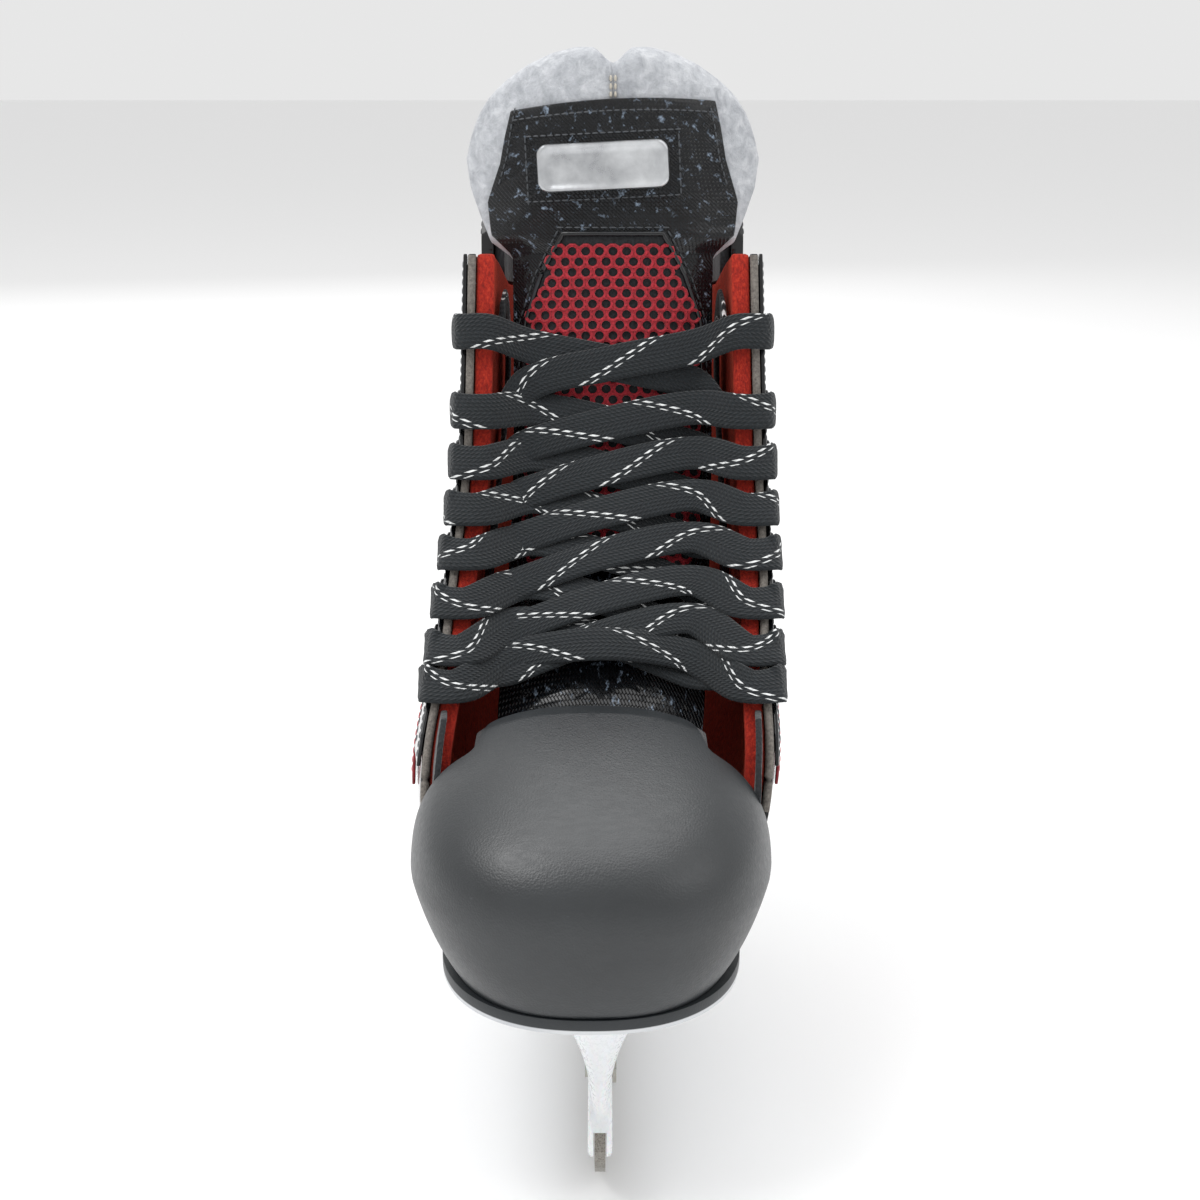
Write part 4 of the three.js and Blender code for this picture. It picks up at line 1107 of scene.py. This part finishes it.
# ---- toe cap -----------------------------------------------------------------------------------
class SKATE_OT_toe_cap(PieceMaker):
    """Moulds the toe cap with its tab, and the knitted liner behind it"""
    bl_idname = "skate.toe_cap"
    bl_label = "Toe cap"

    def make(self, scene):
        x = CAP_CENTRE[0]
        arc = [(x + a, CAP_TAB_REAR - 1.5 * (a / CAP_TAB_HALF) ** 2)
               for a in np.linspace(CAP_TAB_HALF, -CAP_TAB_HALF, 9)]
        outline = [(x + 60, -160), (x + 60, -93), (x + 33, CAP_REAR - 2)] + arc
        outline += [(x - 33, CAP_REAR - 2), (x - 60, -91), (x - 60, -160)]
        cap = cap_body("toe_cap_moulding", 0, CAP_WALL, rounded(outline, 3.0))
        set_piece(cap, "boot", "cap", ["toe_cap"])
        behind = [(x + 60, -160), (x + 60, CAP_REAR), (x + 33, CAP_REAR), (x + 33, -68), (x - 33, -68),
                  (x - 33, CAP_REAR), (x - 60, CAP_REAR), (x - 60, -160)]
        liner = cap_body("toe_liner_knit", CAP_WALL + GAP, 2, rounded(behind, 2.0))
        set_piece(liner, "boot", "tricot", ["toe_liner"])
        for name, side in (("lateral", -1), ("medial", 1)):
            def f(u, v, w, side=side):
                inward = side_normals(side, 0 * u, 0.3 * v) * lerp(-5, -3.2, w)[..., None]
                q = side_points(side, lerp(-0.045, -0.003, u), 0.3 * v) + inward
                q[..., 2] = np.maximum(q[..., 2], boot_base(q[..., 1]))
                return q

            web = block(f"toe_web_{name}", f, 8, 24, 0.4, flat=(10, 50))
            set_piece(web, "boot", "tricot", ())


# ---- boot walls --------------------------------------------------------------------------------
class SKATE_OT_walls(PieceMaker):
    """Makes the quarters, facings, padded linings and accent panels of both sides"""
    bl_idname = "skate.walls"
    bl_label = "Boot walls"

    def make(self, scene):
        edge = scene.skate_boot.edge_round / MM
        soft = scene.skate_boot.lining_round / MM
        for name, side in (("lateral", -1), ("medial", 1)):
            quarter = side_shell(f"quarter_{name}_sheet", side, (0, SEAM_SHARE, 0, 1), (-QUARTER, 0), 72, 64,
                                 edge)
            cut_by(quarter, eyelet_cutter(side))
            set_piece(quarter, "boot", "patent", [f"quarter_{name}"])
            lining = side_shell(f"lining_{name}_pad", side, (0, SEAM_SHARE, 0, 1), (-QUARTER - GAP, INNER),
                                60, 56, soft)
            cut_by(lining, eyelet_cutter(side))
            set_piece(lining, "boot", "lining", [f"lining_{name}"])

            def strip(vv):
                return from_edge(FACING_WIDTH, vv)

            facing = side_shell(f"facing_{name}_sheet", side, (0, strip, 0.22, 1), (GAP, GAP + FACING), 14,
                                64, edge * 0.8)
            cut_by(facing, eyelet_cutter(side))
            set_piece(facing, "boot", "patent", [f"facing_{name}"])
            set_piece(self.panel(name, side, edge), "boot", "accent", [f"accent_panel_{name}"])

    def panel(self, name, side, edge):
        def f(u, v, w):
            vv = lerp(0.16, 0.4, v)
            u0 = from_edge(FACING_WIDTH + 4, vv)
            return side_offset(side, lerp(u0, 0.46 + 0.1 * v, u), vv, lerp(WRAP, WRAP + 1, w))

        return block(f"accent_panel_{name}_sheet", f, 30, 20, edge * 0.8, flat=(70, 60))


class SKATE_OT_trims(PieceMaker):
    """Runs the piping, the raw edges and the stitch rows along the boot walls"""
    bl_idname = "skate.trims"
    bl_label = "Piping and stitches"

    def make(self, scene):
        boot = scene.skate_boot
        out = OUTER
        for name, side in (("lateral", -1), ("medial", 1)):
            rows = [[(distance, v) for v in np.linspace(0.235, 0.985, 30)] for distance in (2.6, 18.6)]
            rows.append([(d, 0.985) for d in np.linspace(2.6, 18.6, 5)])
            rows = [sewn_line(side, row, out) for row in rows]
            sew(f"stitches_facing_{name}", rows, "boot", boot)
            wall = [[(d, 0.985) for d in np.linspace(24, 128, 20)],
                    [(24, v) for v in np.linspace(0.42, 0.98, 20)],
                    [(26.2, v) for v in np.linspace(0.42, 0.98, 20)]]
            wall = [sewn_line(side, row, 0.03) for row in wall]
            sew(f"stitches_quarter_{name}", wall, "boot", boot)
            sew(f"stitches_accent_{name}", [self.panel_edge(side)], "boot", boot,
                "red_thread")
            v = np.linspace(0.21, 0.995, 90)
            line = side_offset(side, from_edge(np.full(90, 22.0), v), v, np.full(90, 0.75))
            cord = tube(f"piping_facing_{name}", line, 0.75)
            set_piece(cord, "boot", "piping", ())
            v = np.linspace(0.16, 0.997, 110)
            rim = side_offset(side, np.full(110, -0.002), v, np.full(110, -QUARTER / 2))
            edge = tube(f"raw_edge_{name}", rim, 1.25, 10)
            set_piece(edge, "boot", "edge", ())

    def panel_edge(self, side):
        v = np.linspace(0.18, 0.38, 24)
        ahead = [(u, w) for u, w in zip(from_edge(FACING_WIDTH + 6.5, v), v)]
        behind = [(0.435 + 0.1 * (w - 0.16) / 0.24, w) for w in v]
        over = [(u, 0.38) for u in np.linspace(ahead[-1][0], behind[-1][0], 20)]
        under = [(u, 0.18) for u in np.linspace(behind[0][0], ahead[0][0], 20)]
        u, w = (np.array(c) for c in zip(*(ahead + over[1:] + behind[::-1][1:] + under[1:])))
        return side_offset(side, u, w, np.full(u.shape, WRAP + 0.98))


class SKATE_OT_eyelets(PieceMaker):
    """Sets the rolled eyelets, eight a side"""
    bl_idname = "skate.eyelets"
    bl_label = "Eyelets"

    def make(self, scene):
        spots, aims, barrels, names = [], [], [], []
        for name, side in (("lateral", -1), ("medial", 1)):
            for row, (at, axis, _) in enumerate(eyelet_spots(side)):
                spots.append(at + axis * (OUTER + GAP))
                aims.append(axis)
                line = [at + axis * (INNER + 1.8), at + axis * (OUTER + GAP)]
                barrels.append(tube("barrel", line, 3.3, 20))
                self.open_ends(barrels[-1])
                names.append(f"eyelet_{name}_{row + 1}")
        rings = point_object("eyelet_rings", spots, aims)
        run_tree(rings, ring_tree(FINISHES["enamel"]), Ring_radius=3.9 * MM, Roll_radius=0.75 * MM)
        set_piece(rings, "boot", None, names)
        tubes = joined("eyelet_barrels", barrels)
        set_piece(tubes, "boot", "enamel", ())

    def open_ends(self, barrel):
        """Leaves a thin-walled tube where the lace passes."""
        bm = bmesh.new()
        bm.from_mesh(barrel.data)
        bmesh.ops.delete(bm, geom=[f for f in bm.faces if len(f.verts) > 4], context="FACES_ONLY")
        bmesh.ops.solidify(bm, geom=bm.faces[:], thickness=0.4 * MM)
        bm.to_mesh(barrel.data)
        bm.free()


class SKATE_OT_heel(PieceMaker):
    """Makes the heel counter and the backstay"""
    bl_idname = "skate.heel"
    bl_label = "Heel counter and backstay"

    def make(self, scene):
        edge = scene.skate_boot.edge_round / MM
        for name, reach, low, high, nu, nv in (("heel_counter", 1 - SIDE_SHARE, 0.03, 0.4, 72, 36),
                                               ("backstay", (1 - SIDE_SHARE) / 3, 0.415, 0.99, 28, 60)):
            def f(u, v, w, reach=reach, low=low, high=high):
                return heel_points(2 * u - 1, lerp(low, high, v), reach, lerp(WRAP, WRAP + 1.2, w))

            shell = block(f"{name}_sheet", f, nu, nv, edge, flat=(150, 100))
            set_piece(shell, "boot", "patent", [name])
            rows = []
            for share in (0.03, 0.97):
                a = np.linspace(-0.94, 0.94, 70)
                v = np.full(70, lerp(low, high, share))
                rows.append(heel_points(a, v, reach, np.full(70, WRAP + 1.35)))
            for a_end in (-0.94, 0.94):
                v = lerp(low, high, np.linspace(0.03, 0.97, 50))
                rows.append(heel_points(np.full(50, a_end), v, reach, np.full(50, WRAP + 1.35)))
            sew(f"stitches_{name}", rows, "boot", scene.skate_boot)


class SKATE_OT_tendon_guard(PieceMaker):
    """Makes the flexing tendon guard and its pad"""
    bl_idname = "skate.tendon_guard"
    bl_label = "Tendon guard"

    def edge_height(self, a):
        return GUARD_RISE * (1 - 0.78 * np.abs(a) ** 1.7)

    def shell(self, name, depths, lift, trim, bevel, crown=0.0):
        def f(u, v, w):
            a = 2 * u - 1
            depth = lerp(depths[0], depths[1], w)
            q = heel_points(a, np.ones(a.shape), GUARD_REACH * trim, depth)
            rise = lift + v * (self.edge_height(a) - lift - (1 - trim) * 30)
            q[..., 2] += rise
            q[..., 1] += rise * 0.1 - crown * np.where(w < 0.5, 1, 0) * np.sin(math.pi * v)
            return q

        return block(name, f, 84, 40, bevel, flat=(150, 60))

    def make(self, scene):
        guard = self.shell("tendon_guard_sheet", (-GUARD, 0), GAP, 1, 1.2)
        set_piece(guard, "guard_bend", "patent", ["tendon_guard"])
        pad = self.shell("tendon_guard_cushion", (-GUARD - GAP - 3, -GUARD - GAP), 1, 0.94, 1.4, 1.2)
        set_piece(pad, "guard_bend", "tricot", ["tendon_guard_pad"])
        a = np.linspace(-0.95, 0.95, 90)
        rows = []
        for share in (0.1, 0.9):
            q = heel_points(a, np.ones(90), GUARD_REACH, np.full(90, 0.15))
            rise = share * self.edge_height(a)
            q[:, 2] += rise
            q[:, 1] += rise * 0.1
            rows.append(q)
        sew("stitches_tendon_guard", rows, "guard_bend", scene.skate_boot)


# ---- tongue ------------------------------------------------------------------------------------
# Half widths of the sheets by height, and the height of the felt's edge by distance from the middle.
MESH_HALF = ((156, 24), (165, 26.4), (226, 26.4), (240, 21.5), (252.5, 15))
FELT_TOP = ((0, 303.6), (2, 304.6), (5, 307), (9, 308.5), (13, 308.6), (20, 306.8), (27, 303.6), (34, 298.8),
            (39, 294), (42, 289.5), (44.5, 284), (46.5, 275))
FELT_OUTLINE = ((110, 29), (126, 31), (245, 31.5), (250, 39), (258, 42.5), (266, 45.5), (275, 46.8),
                (284, 46.5), (309, 46.5))
FACE_OUTLINE = ((110, 28), (126, 30), (246, 30.7), (252, 37.5), (262, 38.5), (275, 34.5),
                (284, 33), (293, 31))


def felt_top(x):
    """Height of the felt's upper edge: two lobes with a notch between them."""
    return linear(FELT_TOP, np.abs(x))


class SKATE_OT_tongue_felt(PieceMaker):
    """Makes the thick felt of the tongue, with two lobes and a sewn notch"""
    bl_idname = "skate.tongue_felt"
    bl_label = "Tongue felt"

    def make(self, scene):
        def f(u, v, w):
            a = 2 * u - 1
            z = lerp(112, 309, v)
            top = felt_top(46.5 * a)
            z = np.where(z > 250, 250 + (z - 250) * (top - 250) / 59, z)
            x = a * linear(FELT_OUTLINE, z)
            edge = 1 - 0.5 * np.abs(a) ** 10 - 0.5 * smoothstep(v, 0.985, 1.0) * (1 - np.abs(a) ** 10)
            middle = -FELT / 2
            depth = middle + (lerp(-FELT, 0, w) - middle) * edge
            groove = 1.2 * np.exp(-(x / 1.1) ** 2) * smoothstep(z, 284, 292)
            return tongue_points(x, z, depth - np.where(w > 0.5, groove, 0))

        felt = block("tongue_felt_pad", f, 64, 110, 1.5, flat=(90, 197))
        set_piece(felt, "tongue_bend", "felt", ["tongue_felt_lower", "tongue_felt_upper"])
        zs = np.linspace(287, 299, 12)
        seam = [tongue_points(np.full(12, 0.7 * s), zs, np.full(12, -0.1)) for s in (-1, 1)]
        sew("stitches_notch", seam, "tongue_top", scene.skate_boot, "pale_thread", 2.2 * MM,
            2.0 * MM, 0.45 * MM)


class SKATE_OT_tongue_face(PieceMaker):
    """Makes the coated face of the tongue with its stitched hem"""
    bl_idname = "skate.tongue_face"
    bl_label = "Tongue face"

    def make(self, scene):
        def f(u, v, w):
            z = lerp(112, 293, v)
            a = 2 * u - 1
            x = a * linear(FACE_OUTLINE, z)
            rise = lerp(-1.5, 1.5, u) + 2.0 * (1 - a * a) - 2
            z = np.where(z > 262, z + rise * (z - 262) / 31, z)
            return tongue_points(x, z, lerp(GAP, FACE_OUT, w))

        face = block("tongue_face_sheet", f, 56, 110, 0.45, flat=(76, 190))
        set_piece(face, "tongue_bend", "weave", ["tongue_face_lower", "tongue_face_upper"])
        self.hem(scene.skate_boot)

    def hem(self, boot):
        z = np.linspace(268, 289.5, 22)
        half = linear(FACE_OUTLINE, z) - 2.2
        lines = []
        for s in (-1, 1):
            lines.append(tongue_points(s * half, z, np.full(22, FACE_SEAM)))
        x = np.linspace(-half[-1], half[-1], 30)
        arch = 289.5 + 2.0 * (1 - (x / 33) ** 2) - 2 + x / 24
        lines.append(tongue_points(x, arch, np.full(30, FACE_SEAM)))
        sew("stitches_hem_top", lines, "tongue_top", boot, pitch=boot.stitch_pitch * 0.85,
            length=boot.stitch_pitch * 0.7)


class SKATE_OT_spacer_mesh(PieceMaker):
    """Knits the red spacer mesh: open cells over a dark backing, inside a sewn border"""
    bl_idname = "skate.spacer_mesh"
    bl_label = "Spacer mesh"

    def half(self, z):
        return linear(MESH_HALF, z)

    def make(self, scene):
        tongue = scene.skate_tongue
        pitch = tongue.cell_pitch / MM
        base = FACE_OUT + GAP
        back = tongue_sheet("mesh_backing", MESH_LOW, MESH_HIGH, self.half, (base, base + 0.5), 24, 50, 0.15)
        set_piece(back, "boot", "tricot", ["mesh_panel"])
        spots = []
        rows = int((252 - 157) / (pitch * 0.80))
        for i in range(rows):
            z = 157.6 + i * pitch * 0.80
            reach = float(self.half(z)) - 1.4
            shift = pitch / 2 if i % 2 else 0
            spots += [(x, z, 0) for x in np.arange(-30 * pitch + shift, 31 * pitch, pitch) if abs(x) < reach]
        mesh = point_object("spacer_mesh_knit", spots, None, 1)
        run_tree(mesh, cell_tree(FINISHES["knit"]), Cell_radius=pitch * 0.47, Yarn=tongue.yarn / MM)
        self.lay(mesh)
        set_piece(mesh, "boot", None, ())
        z = np.linspace(MESH_LOW, MESH_HIGH, 90)
        depth = np.full(90, FACE_OUT + GAP + 0.75)
        left, right = (tongue_points(s * self.half(z), z, depth) for s in (-1, 1))
        x = np.linspace(-self.half(MESH_HIGH), self.half(MESH_HIGH), 20)
        top = tongue_points(x, MESH_HIGH + 0 * x, np.full(20, FACE_OUT + GAP + 0.75))
        border = tube("mesh_border", np.concatenate([left, top[1:-1], right[::-1]]), 0.8, 10)
        set_piece(border, "boot", "piping", ())
        lines = [tongue_points(s * (self.half(z) + 2.2), z, np.full(90, FACE_SEAM)) for s in (-1, 1)]
        lines.append(tongue_points(np.linspace(-16, 16, 20), np.full(20, 254.4), np.full(20, FACE_SEAM)))
        sew("stitches_mesh", lines, "boot", scene.skate_boot)

    def lay(self, obj):
        """Lays the flat knit, drawn in millimetres of width and height, on the tongue."""
        n = len(obj.data.vertices)
        q = np.empty(n * 3, np.float32)
        obj.data.vertices.foreach_get("co", q)
        q = q.reshape(-1, 3).astype(float)
        laid = tongue_points(q[:, 0], np.clip(q[:, 1], 155, 254), FACE_OUT + GAP + 0.95 + q[:, 2])
        obj.data.vertices.foreach_set("co", (laid * MM).astype(np.float32).ravel())
        obj.data.update()


class SKATE_OT_plate(PieceMaker):
    """Casts the blank rimmed plate and sews a rectangle round it"""
    bl_idname = "skate.plate"
    bl_label = "Blank plate"

    def flat(self, bx, bz, depth):
        tilt = 0.05
        x = -3 + bx * math.cos(tilt) - bz * math.sin(tilt)
        return tongue_points(x, 273 + bz * math.cos(tilt) + bx * math.sin(tilt), depth)

    def make(self, scene):
        wide, high, round_by = 39, 14.5, 3.4
        rim = scene.skate_tongue.plate_rim / MM
        base = FACE_OUT + GAP
        path = []
        for corner, (x0, z0, steps) in enumerate(((1, 1, 16), (-1, 1, 4), (-1, -1, 16), (1, -1, 4))):
            x1, z1 = ((-1, 1), (-1, -1), (1, -1), (1, 1))[corner]
            path += [(x0, z0, math.cos(t), math.sin(t)) for t in
                     np.linspace(corner, corner + 1, 9) * math.pi / 2]
            end = (corner + 1) * math.pi / 2
            path += [(lerp(x0, x1, k / steps), lerp(z0, z1, k / steps), math.cos(end), math.sin(end))
                     for k in range(1, steps)]
        sx, sz, c, d = (np.array(q) for q in zip(*path))

        def outline(inset):
            r = max(0.0, min(round_by - inset * 0.4, high / 2 - inset))
            return (wide / 2 - inset - r) * sx + r * c, (high / 2 - inset - r) * sz + r * d

        rings = [(0.4, 0), (0, 0), (0, 1.1), (0.35, 1.6), (rim, 1.6), (rim + 0.5, 1.15), (rim + 2.5, 1.1),
                 (high / 2 - 2.5, 1.1)]
        verts = []
        for inset, depth in rings:
            bx, bz = outline(inset)
            verts.append(self.flat(bx, bz, base + depth + 0 * bx))
        n = len(path)
        count = len(rings)
        verts = np.concatenate(verts)
        faces = [(i * n + j, i * n + (j + 1) % n, (i + 1) * n + (j + 1) % n, (i + 1) * n + j)
                 for i in range(count - 1) for j in range(n)]
        for start in (0, (count - 1) * n):
            top = [start + i for i in range(33)]
            low = [start + 68 - i for i in range(33)]
            faces += [(top[i], top[i + 1], low[i + 1], low[i]) for i in range(32)]
            faces += [tuple(range(start + 32, start + 37)), tuple(range(start + 68, start + n)) + (start,)]
        plate = new_object("blank_plate_casting", verts, faces, 50)
        set_piece(plate, "tongue_top", "lacquer", ["badge_plate"])
        bx, bz = wide / 2 + 3.6, high / 2 + 2.6
        corners = [(-bx, -bz), (bx, -bz), (bx, bz), (-bx, bz), (-bx, -bz)]
        line = np.concatenate([np.linspace(a, b, 24) for a, b in zip(corners, corners[1:])])
        line = self.flat(line[:, 0], line[:, 1], np.full(len(line), FACE_SEAM))
        sew("stitches_plate", [line], "tongue_top", scene.skate_boot, pitch=2.3 * MM,
            length=1.9 * MM)


# ---- lace --------------------------------------------------------------------------------------
LACE_WIDTH, LACE_THICK, LACE_GATHER = 11, 1.9, 2.8


def on_side(side, distance, v, depth):
    ahead = side_points(side, 0, v) - side_points(side, 0.03, v)
    ahead /= np.linalg.norm(ahead)
    return side_offset(side, from_edge(max(0, distance), v), v, depth) + ahead * max(0, -distance)


def edge_along(v):
    t = FRONT_EDGE.tangent(v)
    return np.array([0, t[0], t[1]])


def loop_stops(side, row):
    """Over the edge of the facing, round it, and in at the eyelet."""
    v = ROWS[row]
    wide = edge_along(v)
    centre = side_points(side, from_edge(EYELET_INSET, v), v)
    axis = side_normals(side, from_edge(EYELET_INSET, v), v, level=False)
    return [
        (on_side(side, -5.2, v, INNER + 1.5), wide, LACE_WIDTH, LACE_THICK),
        (on_side(side, -3.4, v, OUTER + 0.4), wide, LACE_WIDTH, LACE_THICK),
        (on_side(side, 0.6, v, OUTER + 1.9), wide, LACE_WIDTH, LACE_THICK),
        (on_side(side, 4.8, v, OUTER + 2.3), wide, LACE_WIDTH - 2, LACE_THICK),
        (centre + axis * (OUTER + 1.9), wide, 3.6, 2),
        (centre - axis * 1.5, wide, LACE_GATHER, LACE_GATHER),
        (centre + axis * (INNER - 1.4), wide, LACE_GATHER, LACE_GATHER),
    ]


def crossing_stops(side, row):
    low, high = ROWS[row + 1], ROWS[row]
    lift = 8.3 if side > 0 else 6
    wide = edge_along((low + high) / 2)
    z = float(FRONT_EDGE.at(low)[1] + FRONT_EDGE.at(high)[1]) / 2
    lean = 9
    return [
        (on_side(-side, 3, low, INNER - 3.6), edge_along(low), 7, 2.2),
        (tongue_points(-side * 22, z - lean * 0.6, lift + 0.3), wide, LACE_WIDTH, LACE_THICK),
        (tongue_points(0, z, lift), wide, LACE_WIDTH, LACE_THICK),
        (tongue_points(side * 22, z + lean * 0.6, lift + 1.8), wide, LACE_WIDTH, LACE_THICK),
    ]


def tucked_stops(side):
    v = ROWS[0]
    spots = [(14, v + 0.03, 6), (24, v + 0.035, LACE_WIDTH), (36, v - 0.02, LACE_WIDTH),
             (44, v - 0.12, LACE_WIDTH), (48, v - 0.24, LACE_WIDTH), (50, v - 0.33, 7), (51, v - 0.37, 3)]
    out = []
    for distance, height, width in spots:
        wide = np.array([0, 1, 6 if height > v - 0.05 else 0.2])
        out.append((on_side(side, distance, height, INNER - 2.4), wide / np.linalg.norm(wide), width,
                    2.6 if width < 4 else LACE_THICK))
    return out


def lace_stops():
    halves = []
    for start in (-1, 1):
        side = start
        stops = loop_stops(side, 7)
        for row in range(6, -1, -1):
            side = -side
            stops += crossing_stops(side, row) + loop_stops(side, row)
        halves.append(stops + tucked_stops(side))
    z = float(FRONT_EDGE.at(ROWS[7])[1])
    bar = [(tongue_points(x, z + 1, 10.5 - abs(x) / 14), edge_along(ROWS[7]), LACE_WIDTH, LACE_THICK)
           for x in (-22, 0, 22)]
    return halves[0][::-1] + bar + halves[1]


class SKATE_OT_lace(PieceMaker):
    """Braids the flat lace along its whole route"""
    bl_idname = "skate.lace"
    bl_label = "Lace"

    def make(self, scene):
        stops = lace_stops()
        steps = 8
        path = Path([s[0] for s in stops], steps)
        along = np.gradient(path.points, axis=0)
        along /= np.linalg.norm(along, axis=1, keepdims=True)
        run = path.share * path.length
        sides = 18
        t = np.linspace(0, 2 * math.pi, sides, endpoint=False)
        across = np.sign(np.cos(t)) * np.abs(np.cos(t)) ** 0.75
        through = np.sign(np.sin(t)) * np.abs(np.sin(t)) ** 0.6
        verts, cloth = [], []
        last = None
        for i, at in enumerate(path.points):
            k = min(len(stops) - 2, i // steps)
            f = i / steps - k
            (_, wa, a, ta), (_, wb, b, tb) = stops[k], stops[k + 1]
            e = f * f * (3 - 2 * f)
            wide = wa * (1 - e) + wb * e
            wide = wide - along[i] * wide.dot(along[i])
            wide /= np.linalg.norm(wide)
            if last is not None and wide.dot(last) < 0:
                wide = -wide
            last = wide
            up = np.cross(along[i], wide)
            w, h = lerp(a, b, e) / 2, lerp(ta, tb, e) / 2
            verts.append(at + np.outer(across * w, wide) + np.outer(through * h, up))
            cloth.append(np.stack([across * LACE_WIDTH / 2, np.full(sides, run[i]), 0 * t], -1))
        n = len(verts)
        faces = [(i * sides + j, i * sides + (j + 1) % sides, (i + 1) * sides + (j + 1) % sides,
                  (i + 1) * sides + j) for i in range(n - 1) for j in range(sides)]
        faces += [tuple(range(sides)), tuple(range((n - 1) * sides, n * sides))]
        lace = new_object("lace_braid", np.concatenate(verts), faces, 60, np.concatenate(cloth))
        set_piece(lace, "boot", "braid", ["lace"])
        for name in ("aglet_lateral", "aglet_medial"):
            paint(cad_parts[name], FINISHES["tip"])


# ---- stage -------------------------------------------------------------------------------------
LAMPS = (("key", (-0.7, -0.35, 1.4), 0.8, 9), ("fill", (1.1, -0.5, 1.0), 1.0, 3),
         ("top", (0.1, 0.25, 1.5), 1.2, 9), ("back", (-0.3, 1.5, 0.9), 1.4, 4))


class SKATE_OT_stage(PieceMaker):
    """Sets the floor, the soft lights and the camera"""
    bl_idname = "skate.stage"
    bl_label = "Studio stage"

    def make(self, scene):
        stage = scene.skate_stage
        camera = bpy.data.cameras.new("camera")
        camera.lens = stage.lens
        camera.sensor_width = 36
        camera.shift_y = 0.029
        camera.clip_end = 20
        eye = bpy.data.objects.new("camera", camera)
        scene.collection.objects.link(eye)
        eye.location = stage.camera_place
        aim = Vector(stage.camera_aim) - eye.location
        eye.rotation_euler = aim.to_track_quat("-Z", "Y").to_euler()
        scene.camera = eye
        floor = prism("studio_floor", [(-6000, -6000), (6000, -6000), (6000, 6000), (-6000, 6000)], -20, 0)
        paint(floor, FINISHES["floor"])
        scene.view_settings.view_transform = "Standard"
        for lamp in LAMPS:
            self.light(scene, *lamp)
        world = scene.world or bpy.data.worlds.new("studio")
        scene.world = world
        world.use_nodes = True
        world.node_tree.nodes["Background"].inputs["Color"].default_value = (*stage.backdrop, 1)
        world.node_tree.nodes["Background"].inputs["Strength"].default_value = 0.8

    def light(self, scene, name, place, size, power):
        lamp = bpy.data.lights.new(name, "AREA")
        lamp.size = size
        lamp.energy = power
        obj = bpy.data.objects.new(name, lamp)
        scene.collection.objects.link(obj)
        obj.location = place
        obj.rotation_euler = (Vector((0, 0, 0.15)) - obj.location).to_track_quat("-Z", "Y").to_euler()


class SKATE_PT_panel(bpy.types.Panel):
    """Lists the skate's settings and makers"""
    bl_idname = "SKATE_PT_panel"
    bl_label = "Hockey skate"
    bl_space_type = "VIEW_3D"
    bl_region_type = "UI"
    bl_category = "Skate"

    def draw(self, context):
        for group in SETTINGS:
            box = self.layout.box()
            settings = getattr(context.scene, group)
            for name in settings.bl_rna.properties.keys():
                if name not in ("rna_type", "name"):
                    box.prop(settings, name)
        for operator in OPERATORS:
            self.layout.operator(operator.bl_idname)


SETTINGS = {"skate_boot": BootSettings, "skate_tongue": TongueSettings, "skate_stage": StageSettings}
OPERATORS = (
    SKATE_OT_stage, SKATE_OT_runner, SKATE_OT_holder, SKATE_OT_sole, SKATE_OT_rivets, SKATE_OT_toe_cap,
    SKATE_OT_walls, SKATE_OT_trims, SKATE_OT_eyelets, SKATE_OT_heel, SKATE_OT_tendon_guard,
    SKATE_OT_tongue_felt, SKATE_OT_tongue_face, SKATE_OT_spacer_mesh, SKATE_OT_plate, SKATE_OT_lace,
)


def register():
    for c in (*SETTINGS.values(), *OPERATORS, SKATE_PT_panel):
        bpy.utils.register_class(c)
    for name, c in SETTINGS.items():
        setattr(bpy.types.Scene, name, PointerProperty(type=c))


def unregister():
    for name in SETTINGS:
        delattr(bpy.types.Scene, name)
    for c in reversed((*SETTINGS.values(), *OPERATORS, SKATE_PT_panel)):
        bpy.utils.unregister_class(c)


def main():
    register()
    make_finishes()
    for operator in OPERATORS:
        group, name = operator.bl_idname.split(".")
        getattr(getattr(bpy.ops, group), name)()


if __name__ == "__main__":
    main()
